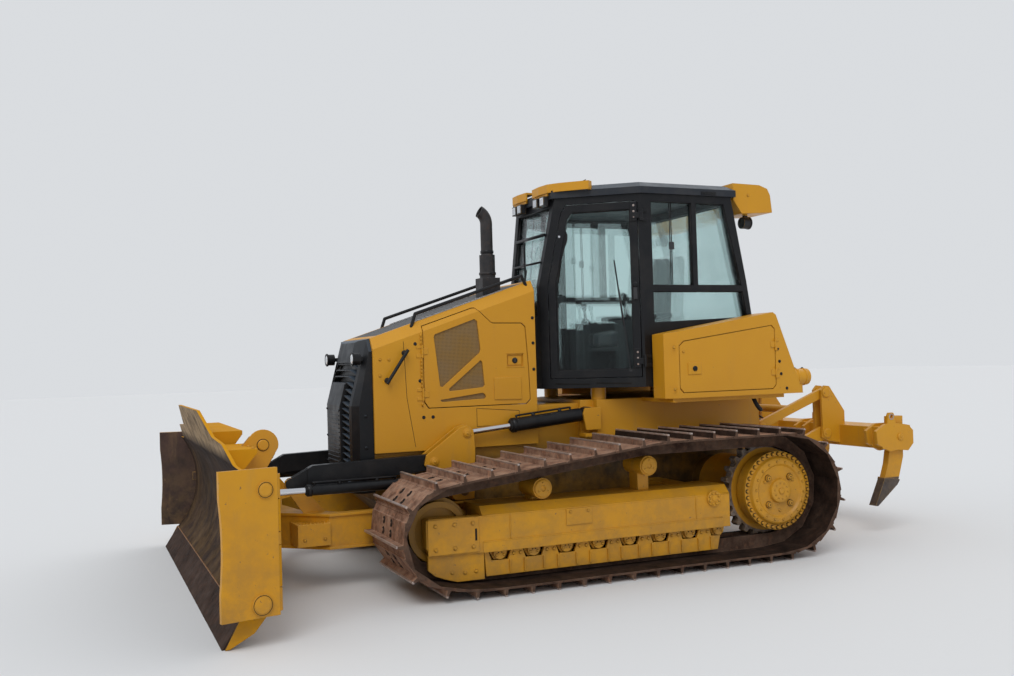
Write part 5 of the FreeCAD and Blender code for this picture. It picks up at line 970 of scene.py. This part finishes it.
def dress_cab():
    for name, side in SIDES:
        along, out, corner = door_axes(side)
        door = Form()
        # wavy dark edge inside the pane beside the front post, with its chrome pivot
        wave = [(0.150, 2.16), (0.158, 2.25), (0.176, 2.306), (0.212, 2.432), (0.238, 2.500), (0.240, 2.545), (0.222, 2.585),
                (0.232, 2.64), (0.246, 2.69)]
        edge = [(0.190, 2.69), (0.160, 2.16)]
        on_door(door, wave + edge, -0.0175, 0.004, side, "rubber", 0.001)
        door.bolt(door_spot(0.176, 2.53, 0.004, side), out, 0.0065, "chrome", 12)
        # gasket round the pane
        gasket = [(0.138, 1.463), (0.138, 2.155), (0.235, 2.66), (0.262, 2.712), (0.742, 2.712), (0.742, 1.463), (0.138, 1.463)]
        for a, b in zip(gasket[:-1], gasket[1:]):
            on_door(door, strip_line([a, b], 0.012), -0.0185, 0.007, side, "rubber")
        # lock, pull and the two hinge blocks with three bolts each
        door.turned([(0.024, 0.0), (0.024, 0.006), (0.017, 0.010), (0.017, 0.026), (0.0, 0.028)],
                    door_spot(0.772, 2.120, 0.004, side), out, "black", 24)
        on_door(door, rectangle(0.756, 0.788, 2.005, 2.100), 0.004, 0.020, side, "plastic", 0.006)
        for low, high in ((2.618, 2.770), (1.470, 1.622)):
            on_door(door, rectangle(0.748, 0.802, low, high), 0.003, 0.012, side, "black", 0.004)
            for rise in (0.030, 0.076, 0.122):
                door.bolt(door_spot(0.776, low + rise, 0.015, side), out, 0.0058, "worn")
        door.done("cab_door_fittings_" + name, "cab_door_" + name)
        # wiper on the door's pane
        wiper = Form()
        wiper.turned([(0.016, 0.0), (0.016, 0.018), (0.010, 0.024), (0.0, 0.024)], door_spot(0.715, 1.452, -0.018, side), out, "plastic", 16)
        arm = [(0.715, 1.455, 0.004), (0.690, 1.70, 0.010), (0.655, 1.98, 0.004), (0.640, 2.09, -0.006)]
        wiper.swept([door_spot(s, z, proud, side) for s, z, proud in arm], 0.0045, "plastic", 8)
        blade = [(0.668, 1.80), (0.652, 1.95), (0.634, 2.10), (0.608, 2.32)]
        on_door(wiper, strip_line(blade, 0.010), -0.0175, 0.014, side, "rubber", 0.002)
        wiper.done("door_wiper_" + name, "cab_door_" + name)
        # sill: two slots under the door, drawn as strips of painted shade
        sill = Form()
        for low, high in ((0.110, 0.390), (0.440, 0.720)):
            on_door(sill, strip_line([(low, 1.358), (high, 1.350)], 0.012), 0.0, 0.0016, side, "recess_shade")
        sill.done("cab_sill_" + name, "chassis")
    panes = Form()
    for side in (-1, 1):
        # rubber round the side windows, which follow the cab's side
        outlines = [[(-0.545, 1.815), (-1.438, 1.850), (-1.400, 2.066), (-0.545, 2.066)],
                    [(-0.545, 2.112), (-0.925, 2.112), (-0.925, 2.775), (-0.545, 2.775)],
                    [(-0.968, 2.112), (-1.392, 2.112), (-1.382, 2.160), (-1.238, 2.775), (-0.968, 2.775)]]
        for outline in outlines:
            for a, b in zip(outline, outline[1:] + outline[:1]):
                pair = [(x, side * (0.800 - 0.019 * (-0.45 - x) / 1.05 - 0.020), z) for x, z in (a, b)]
                panes.swept(pair, 0.0075, "rubber", 8)
        # sliding pane's stile and its catch
        for x in (-0.742, -0.728):
            panes.swept([(x, side * 0.770, 2.120), (x, side * 0.770, 2.768)], 0.0045, "rubber", 6)
        panes.block((-0.755, min(side * 0.772, side * 0.788), 2.40), (-0.715, max(side * 0.772, side * 0.788), 2.46), "plastic", 0.004)
        # a row of vent slots low on the rear post
        for i in range(4):
            z = 1.50 + i * 0.035
            points = rectangle(-0.66, -0.52, z, z + 0.012)
            # the slots are strips of painted shade
            on_side(panes, points, 0.7985 - 0.019 * 0.14 / 1.05, side, 0.0025, "recess_shade")
        # bracket under the roof's edge
        panes.block((-1.150, min(side * 0.79, side * 0.812), 2.842), (-1.010, max(side * 0.79, side * 0.812), 2.868), "black", 0.004)
        for x in (-1.12, -1.04):
            panes.bolt((x, side * 0.812, 2.855), (0, side, 0), 0.006, "black")
    # bars across the windscreen, rubber round it and its wiper
    def screen(z, proud=0.0):
        share = max(0.0, (z - 2.15) / 0.685)
        return 0.205 - 0.115 * share - 0.021 + proud
    for z, size in ((2.557, 0.013), (2.337, 0.009)):
        half = 0.250 + 0.062 * max(0.0, (z - 2.16) / 0.615)
        panes.swept([(screen(z, 0.030), -half, z), (screen(z, 0.030), half, z)], size, "black", 10)
        for y in (-half + 0.02, half - 0.02):
            panes.turned([(0.010, 0.0), (0.010, 0.030)], (screen(z), y, z), (1, 0, 0), "black", 10)
    outline = [(-0.238, 1.900), (0.238, 1.900), (0.238, 2.160), (0.312, 2.775), (-0.312, 2.775), (-0.238, 2.160)]
    for a, b in zip(outline, outline[1:] + outline[:1]):
        panes.swept([(screen(a[1]), a[0], a[1]), (screen(b[1]), b[0], b[1])], 0.0075, "rubber", 8)
    panes.swept([(screen(1.93, 0.022), 0.05, 1.93), (screen(2.10, 0.030), 0.02, 2.10), (screen(2.30, 0.012), -0.02, 2.30)],
                0.0045, "plastic", 8)
    panes.block((screen(2.2, 0.002), -0.030, 2.05), (screen(2.2, 0.016), -0.018, 2.52), "rubber", 0.002)
    # rear window rubber
    for a, b in (((-0.69, 1.81), (0.69, 1.81)), ((0.69, 1.81), (0.67, 2.775)), ((0.67, 2.775), (-0.67, 2.775)), ((-0.67, 2.775), (-0.69, 1.81))):
        def back(z):
            return -1.500 + 0.060 * min(max((z - 1.75) / 0.40, 0.0), 1.0) + 0.130 * max((z - 2.15) / 0.685, 0.0) + 0.022
        panes.swept([(back(a[1]), a[0], a[1]), (back(b[1]), b[0], b[1])], 0.0075, "rubber", 8)
    panes.done("window_seals", "chassis")


def dress_roof():
    form = Form()
    for side in (-1, 1):
        for y, x in ((0.160, 0.1635), (0.279, 0.1575)):
            outline = [(-0.030, -0.030), (0.030, -0.030), (0.030, 0.030), (-0.030, 0.030)]
            form.extruded(outline, (x, side * y, 2.826), (0, 1, 0), (0, 0, 1), 0.004, "lens", 0.003)
            form.extruded([(u * 0.62, v * 0.62) for u, v in outline], (x + 0.004, side * y, 2.826), (0, 1, 0), (0, 0, 1), 0.003,
                          "chrome", 0.002)
        # lens and bezel of the rear working lamps
        spot = (-1.565, side * 0.655, 2.645)
        form.turned([(0.049, -0.002), (0.052, 0.0), (0.052, 0.012), (0.049, 0.014), (0.043, 0.014), (0.043, -0.002)], spot,
                    (-1, 0, 0), "black", 28, False, True)
        form.turned([(0.043, 0.0), (0.043, 0.006), (0.030, 0.011), (0.0, 0.013)], spot, (-1, 0, 0), "lens", 28, True)
        # screw on the rear box, bolts on the roof's edge
        form.bolt((-1.50, side * 0.7605, 2.86), (0, side, 0), 0.009, "clean_yellow")
        for x in (-0.70, -1.00, -1.25):
            form.bolt((x, side * 0.60, 2.9295), (0, 0, 1), 0.010, "black")
    # aerial on its base
    form.turned([(0.022, 0.0), (0.022, 0.008), (0.012, 0.020), (0.006, 0.032)], (-0.113, 0.300, 2.918), (0, 0, 1), "rubber", 16, True)
    form.swept([(-0.113, 0.300, 2.945), (-0.170, 0.300, 2.985), (-0.240, 0.300, 3.018)], 0.0032, "rubber", 8)
    # roof hatch seam: a raised panel in the middle of the roof
    form.extruded([(-1.10, -0.36), (-0.30, -0.36), (-0.30, 0.36), (-1.10, 0.36)], (0, 0, 2.9295), (1, 0, 0), (0, 1, 0), 0.010, "roof", 0.006)
    form.done("roof_fittings", "chassis")
    mirror = Form()
    mirror.extruded([(-0.060, -0.050), (0.060, -0.050), (0.060, 0.050), (-0.060, 0.050)], (-0.016, 0.20, 2.600), (0, -1, 0), (0, 0, 1),
                    0.014, "plastic", 0.010)
    mirror.swept([(-0.030, 0.20, 2.650), (-0.020, 0.20, 2.70), (0.000, 0.20, 2.76)], 0.006, "plastic", 8)
    mirror.done("cab_mirror", "chassis")


# Driver's seat and controls

def cushion(name, half, crown, channels, look, place, lean=0.0):
    # padded form: rounded block with a crowned top whose sides pull in between its corners
    mesh = bmesh.new()
    bmesh.ops.create_cube(mesh, size=2.0)
    bmesh.ops.subdivide_edges(mesh, edges=mesh.edges[:], cuts=15, use_grid_fill=True)
    for vert in mesh.verts:
        x, y, z = vert.co
        size = (abs(x) ** 7 + abs(y) ** 7 + abs(z) ** 7) ** (1 / 7)
        x, y, z = x / size, y / size, z / size
        pull = 1.0 - 0.035 * (1 - y * y) * abs(x) ** 3 - 0.035 * (1 - x * x) * abs(y) ** 3
        px, py, pz = x * half[0] * pull, y * half[1] * pull, z * half[2]
        if z > 0:
            pz += crown * (1 - x * x) * (1 - y * y) * z
            for at in channels:
                pz -= 0.012 * math.exp(-((y - at) / 0.045) ** 2) * z
        # seam round the edge
        pz_share = abs(z - 0.55)
        if pz_share < 0.12:
            px *= 1 - 0.012 * (1 - pz_share / 0.12)
            py *= 1 - 0.012 * (1 - pz_share / 0.12)
        vert.co = Vector((px, py, pz))
    turn = Matrix.Rotation(lean, 4, "Y")
    bmesh.ops.transform(mesh, matrix=Matrix.Translation(place) @ turn, verts=mesh.verts)
    for one in mesh.faces:
        one.smooth = True
    data = bpy.data.meshes.new(name)
    mesh.to_mesh(data)
    mesh.free()
    data.materials.append(M[look])
    piece = bpy.data.objects.new(name, data)
    scene.collection.objects.link(piece)
    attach(piece, "chassis")
    return piece


def dress_seat():
    base = Form()
    # pedestal with its bellows and slide rails
    base.turned([(0.19, 0.0), (0.17, 0.02), (0.185, 0.05), (0.165, 0.08), (0.185, 0.11), (0.165, 0.14), (0.185, 0.17), (0.17, 0.20)],
                (-0.77, 0, 1.382), (0, 0, 1), "rubber", 28, True)
    for y in (-0.18, 0.18):
        base.block((-0.98, y - 0.015, 1.580), (-0.56, y + 0.015, 1.615), "plastic", 0.004)
    base.block((-0.99, -0.235, 1.612), (-0.53, 0.235, 1.645), "plastic", 0.010)
    base.extruded([(-0.205, 0.0), (0.205, 0.0), (0.175, 0.72), (0.12, 0.76), (-0.12, 0.76), (-0.175, 0.72)], (-1.035, 0, 1.640),
                  (0, -1, 0), (-0.09, 0, 1), 0.020, "plastic", 0.008)
    base.done("seat_base", "chassis")
    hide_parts("seat")
    cushion("seat_cushion", (0.235, 0.245, 0.060), 0.022, (-0.45, 0.45), "seat", Vector((-0.745, 0, 1.708)))
    cushion("seat_back", (0.330, 0.225, 0.050), 0.020, (-0.42, 0.42), "seat", Vector((-0.975, 0, 2.065)), math.radians(-96))
    cushion("seat_headrest", (0.070, 0.130, 0.040), 0.010, (), "seat", Vector((-1.010, 0, 2.330)), math.radians(-96))
    controls = Form()
    for side in (-1, 1):
        y = side * 0.36
        # lever with a boot, a row of switches, a small screen on the right pod
        controls.turned([(0.045, 0.0), (0.038, 0.012), (0.040, 0.022), (0.028, 0.034), (0.014, 0.050), (0.011, 0.110), (0.020, 0.130),
                         (0.026, 0.170), (0.024, 0.215), (0.0, 0.228)], (-0.545, y, 1.860), (0.1, 0, 1), "rubber", 20, True)
        for i in range(4):
            controls.block((-0.66 - i * 0.035, y + side * 0.030, 1.8605), (-0.64 - i * 0.035, y + side * 0.030 + 0.020, 1.870), "plastic", 0.003)
        cushion("armrest_" + ("left" if side > 0 else "right"), (0.130, 0.045, 0.022), 0.006, (), "seat", Vector((-0.84, y * 0.99, 1.892)),
                0.0)
    controls.extruded([(-0.09, -0.06), (0.09, -0.06), (0.09, 0.06), (-0.09, 0.06)], (-0.060, -0.02, 2.145), (0, -1, 0), (0.35, 0, 1), 0.022,
                      "plastic", 0.006)
    controls.swept([(-0.030, -0.02, 2.04), (-0.026, -0.02, 2.09), (-0.04, -0.02, 2.14)], 0.010, "plastic", 8)
    # travel pedals
    for y in (-0.10, 0.06):
        controls.extruded([(-0.04, 0.0), (0.04, 0.0), (0.035, 0.15), (-0.035, 0.15)], (-0.07, y, 1.42), (0, -1, 0), (0.6, 0, 1), 0.012,
                          "rubber", 0.004)
    controls.done("cab_controls", "chassis")


# Fenders

def dress_fenders():
    for name, side in SIDES:
        out = (0, side, 0)
        door = Form()
        on_side(door, rectangle(-0.796, -0.676, 1.408, 1.500), FENDER_FACE - 0.001, side, 0.006, "clean_yellow", 0.004)
        door.turned([(0.020, 0.0), (0.020, 0.006), (0.015, 0.010), (0.0, 0.010)], (-0.736, side * (FENDER_FACE + 0.005), 1.454),
                    out, "black", 24)
        door.bolt((-0.64, side * (FENDER_FACE - 0.001), 1.585), out, 0.008, "clean_yellow")
        door.done("fender_door_latch_" + name, "fender_door_" + name)
        form = Form()
        for x, z in ((-1.523, 1.587), (-1.548, 1.387), (-1.536, 1.487), (-1.60, 1.27), (-0.555, 1.30), (-0.555, 1.62)):
            form.bolt((x, side * FENDER_FACE, z), out, 0.009, "black" if x < -1.5 else "clean_yellow")
        # clamp and cap of the round component behind the fender
        for x in (-1.725, -1.800):
            form.turned([(0.0665, 0.0), (0.071, 0.002), (0.071, 0.016), (0.0665, 0.018)], (x, side * 0.985, 1.355), (-1, 0, 0), "clean_yellow", 28, True)
            form.bolt((x - 0.009, side * 0.985, 1.425), (0, 0, 1), 0.008, "black")
        form.turned([(0.050, 0.0), (0.050, 0.010), (0.040, 0.016), (0.0, 0.016)], (-1.845, side * 0.985, 1.355), (-1, 0, 0), "black", 28)
        # a pipe elbow under the front of the fender
        form.swept([(-1.36, side * 0.93, 1.205), (-1.36, side * 0.955, 1.165), (-1.385, side * 0.965, 1.120), (-1.42, side * 0.94, 1.105)],
                   0.017, "rubber", 12)
        form.done("fender_fittings_" + name, "chassis")


# Cylinders: a collar and gland at the barrel's mouth and a steel pipe along it

def dress_cylinder(name, body, start, aim, length, radius, rod_radius, pipe_side):
    start, aim, pipe_side = Vector(start), Vector(aim).normalized(), Vector(pipe_side).normalized()
    form = Form()
    mouth = start + aim * length
    form.turned([(radius + 0.0004, -0.040), (radius + 0.005, -0.037), (radius + 0.005, -0.006), (radius + 0.0004, -0.003)],
                mouth, aim, "black", 28, True)
    form.turned([(rod_radius + 0.001, -0.004), (radius - 0.006, -0.004), (radius - 0.009, 0.008), (rod_radius + 0.001, 0.008)],
                mouth, aim, "rubber", 28, True, True)
    lift = radius + 0.014
    port = mouth - aim * 0.055
    line = [port + pipe_side * (radius - 0.004), port + pipe_side * lift, port - aim * 0.030 + pipe_side * (lift + 0.004),
            start + aim * 0.17 + pipe_side * (lift + 0.004), start + aim * 0.14 + pipe_side * lift,
            start + aim * 0.135 + pipe_side * (radius - 0.004)]
    form.swept(line, 0.0075, "black", 8, 4)
    for share in (0.35, 0.7):
        spot = start + aim * (length * share) + pipe_side * (radius - 0.001)
        form.turned([(0.016, 0.0), (0.016, 0.006), (0.011, 0.020), (0.0, 0.024)], spot, pipe_side, "black", 12)
    form.done(name, body)


def dress_linkage():
    for name, side in SIDES:
        out = (0, side, 0)
        dress_cylinder("lift_cylinder_fittings_" + name, "lift_barrel_" + name, (-0.060, side * LEVER_MIDDLE, 1.120),
                       (1.028, 0, -0.095), 0.650, 0.052, 0.022, (0, -side * 0.25, 1))
        dress_cylinder("angle_cylinder_fittings_" + name, "angle_barrel_" + name, (1.420, side * (ARM_INNER + 0.045), 0.700),
                       (1, 0, 0), 0.770, 0.038, 0.022, (0, side * 0.3, 1))
        # caps over the lever's pins
        lever = Form()
        for x, z in ((1.230, 0.830), (0.968, 1.025)):
            spot = (x, side * (ARM_INNER - 0.007), z)
            lever.turned([(0.026, 0.0), (0.026, 0.004), (0.020, 0.007), (0.0, 0.007)], spot, out, "yellow", 20)
            lever.bolt((x, side * (ARM_INNER - 0.001), z), out, 0.008)
        lever.done("lever_pin_caps_" + name, "lift_lever_" + name)
        arm = Form()
        for i in range(6):
            angle = math.radians(60 * i + 30)
            arm.bolt((0.490 + 0.094 * math.cos(angle), side * (ARM_INNER + 0.088), 0.390 + 0.094 * math.sin(angle)), out, 0.011)
        arm.turned([(0.022, 0.0), (0.022, 0.008), (0.016, 0.012), (0.0, 0.012)], (1.420, side * (ARM_INNER + 0.045), 0.745),
                   (0, 0, 1), "yellow", 20)
        # bolted pad on the step
        for x in (2.075, 2.215):
            arm.bolt((x, side * (ARM_INNER + 0.088), 0.365), out, 0.009)
        arm.done("push_arm_bolts_" + name, "c_frame")
    dress_cylinder("tilt_cylinder_fittings", "tilt_barrel", (2.490, -0.030, 0.950), (0, 0.83, 0.08), 0.460, 0.048, 0.025,
                   (-0.8, 0, 0.6))
    dress_cylinder("ripper_cylinder_fittings", "ripper_barrel", (-1.765, 0, 1.090), (-0.565, 0, -0.315), 0.468, 0.055, 0.027,
                   (-0.4869, 0, 0.8734))


# Blade

def dress_blade():
    form = Form()
    form.block((2.812, -1.838, 0.1678), (2.8244, 1.838, 0.1718), "rust_line", 0.001)
    nose = Vector((0.170, 0, 0.110)).normalized()
    for i in range(24):
        y = -1.76 + i * 3.52 / 23
        x = 2.930 - 0.110 * 0.128 / 0.170
        form.turned([(0.014, 0.0), (0.014, 0.0008), (0.010, 0.0014), (0.0, 0.0014)], (x, y, 0.128), nose, "edge", 12)
    form.done("edge_bolts", "blade")
    back = Form()
    # pin caps of the tilt cylinder's eye and bolts of the bracket plates
    for x, way in ((2.5385, 1), (2.4415, -1)):
        back.turned([(0.030, 0.0), (0.030, 0.006), (0.022, 0.012), (0.0, 0.012)], (x, 0.800, 1.030), (way, 0, 0), "yellow", 20)
    for y in (-1.10, -0.85, 0.95, 1.12):
        back.bolt((2.62, y, 1.0502), (0, 0, 1), 0.011)
    # welded seams behind the moldboard
    for z in (0.332, 0.758):
        for side in (-1, 1):
            back.swept([(2.597, side * 0.30, z), (2.598, side * 0.80, z + 0.001), (2.597, side * 1.44, z)], 0.005, "yellow", 6)
    for side in (-1, 1):
        spot = (2.525, side * (ARM_INNER + 0.049), 0.774)
        back.turned([(0.014, 0.0), (0.014, 0.006), (0.010, 0.010), (0.0, 0.010)], spot, (0, 0, 1), "yellow", 16)
    # round-topped gusset outside the tilt cylinder's bracket, with the head of its pin
    centre, reach = (2.517, 1.050), 0.102
    cheek = [(2.700, 0.765), (2.735, 0.950)]
    cheek += [(centre[0] + reach * math.cos(math.radians(a)), centre[1] + reach * math.sin(math.radians(a)))
              for a in range(25, 201, 12)]
    cheek += [(2.590, 0.740)]
    back.extruded([(-x, z) for x, z in cheek], (0, 0.8742, 0), (-1, 0, 0), (0, 0, 1), 0.010, "yellow", 0.003)
    # dark ring of painted shade round the pin's head
    back.turned([(0.041, 0.0), (0.041, 0.0012), (0.037, 0.0012)], (centre[0], 0.8842, centre[1]), (0, 1, 0), "recess_shade", 28)
    back.turned([(0.036, 0.0), (0.036, 0.008), (0.030, 0.012), (0.0, 0.012)], (centre[0], 0.8842, centre[1]), (0, 1, 0),
                "yellow", 28)
    back.done("blade_fittings", "blade")
    for name, side in SIDES:
        wing = Form()
        turn = math.radians(12) * side
        hinge = Vector((2.620, side * 1.874, 0))

        def place(x, y, z):
            spot = Vector((x - hinge.x, side * y - hinge.y, 0))
            return (hinge.x + spot.x * math.cos(turn) - spot.y * math.sin(turn),
                    hinge.y + spot.x * math.sin(turn) + spot.y * math.cos(turn), z)

        out = (-math.sin(turn), math.cos(turn) * side, 0) if side > 0 else (math.sin(turn) * 1.0, -math.cos(turn), 0)
        for x, z, radius in ((2.695, 0.880, 0.044), (2.725, 0.245, 0.056)):
            # a thin ring of painted shadow round each disc, then the disc inside it
            wing.turned([(radius - 0.0035, 0.0), (radius, 0.0), (radius, 0.0012), (radius - 0.0035, 0.0012)],
                        place(x, 1.9176, z), out, "recess_shade", 36, False, True)
            wing.turned([(radius - 0.008, 0.0), (radius - 0.008, 0.0015), (radius - 0.013, 0.003), (0.0, 0.003)],
                        place(x, 1.9176, z), out, "yellow", 36)
        wing.done("wing_discs_" + name, "wing_" + name)
    yoke = Form()
    for x in (2.4335, 2.5465):
        way = -1 if x < 2.49 else 1
        yoke.turned([(0.028, 0.0), (0.028, 0.006), (0.020, 0.011), (0.0, 0.011)], (x, -0.030, 0.950), (way, 0, 0), "yellow", 20)
    for angle in range(0, 360, 60):
        yoke.bolt((2.470 + 0.056 * math.cos(math.radians(angle)), 0.056 * math.sin(math.radians(angle)), 0.596), (0, 0, 1), 0.009)
    # steel pipes and their black union block down the back of the tilt cylinder's tower
    for y, size in ((0.030, 0.012), (0.072, 0.012), (0.112, 0.010)):
        yoke.swept([(2.428, y, 0.905), (2.385, y + 0.006, 0.885), (2.362, y + 0.010, 0.820), (2.366, y, 0.730),
                    (2.392, y - 0.010, 0.660), (2.430, y - 0.010, 0.640)], size, "black", 10)
    yoke.block((2.372, 0.010, 0.845), (2.436, 0.132, 0.890), "black", 0.006)
    yoke.block((2.352, -0.005, 0.735), (2.384, 0.130, 0.790), "black", 0.006)
    for y in (0.030, 0.072, 0.112):
        yoke.turned([(0.017, 0.0), (0.017, 0.016), (0.013, 0.018)], (2.366, y, 0.792), (-0.05, 0.03, 1), "worn", 6)
    yoke.done("yoke_caps", "blade_yoke")


# Ripper

def dress_ripper():
    beam = Form()
    for side in (-1, 1):
        out = (0, side, 0)
        for x, z in ((-2.470, 0.830), (-2.470, 1.190)):
            beam.turned([(0.044, 0.0), (0.044, 0.007), (0.034, 0.012), (0.0, 0.012)], (x, side * 0.4805, z), out, "yellow", 24)
            beam.bolt((x + 0.022, side * 0.492, z), out, 0.007)
    for y in (-0.925, 0.0, 0.925):
        for side in (-1, 1):
            spot = (-2.805, y + side * 0.0865, 0.811)
            beam.turned([(0.030, -0.012), (0.030, -0.006), (0.026, 0.0), (0.0, 0.0)], spot, (0, side, 0), "yellow", 20)
            beam.bolt((-2.805, y + side * 0.0865, 0.811), (0, side, 0), 0.008)
    # worn rings round the lifting eyes
    for side in (-1, 1):
        for way in (-1, 1):
            beam.turned([(0.0185, 0.0), (0.027, 0.0), (0.027, 0.0025), (0.0185, 0.0025)], (-2.715, side * 0.9875 + way * 0.0125, 0.985),
                        (0, way, 0), "worn", 24, False, True)
    beam.done("ripper_pins", "ripper_beam")
    root = Form()
    for side in (-1, 1):
        for x, z in ((-1.780, 0.560), (-1.780, 0.920)):
            root.turned([(0.042, 0.0), (0.042, 0.006), (0.032, 0.011), (0.0, 0.011)], (x, side * 0.4725, z), (0, side, 0), "yellow", 24)
            root.bolt((x, side * 0.483, z), (0, side, 0), 0.008)
    root.done("ripper_root_caps", "chassis")


put_stage()
put_camera()
dress_nodes()
dress_tracks()
dress_undercarriage()
dress_hood()
dress_guard()
dress_cab()
dress_roof()
dress_seat()
dress_fenders()
dress_linkage()
dress_blade()
dress_ripper()
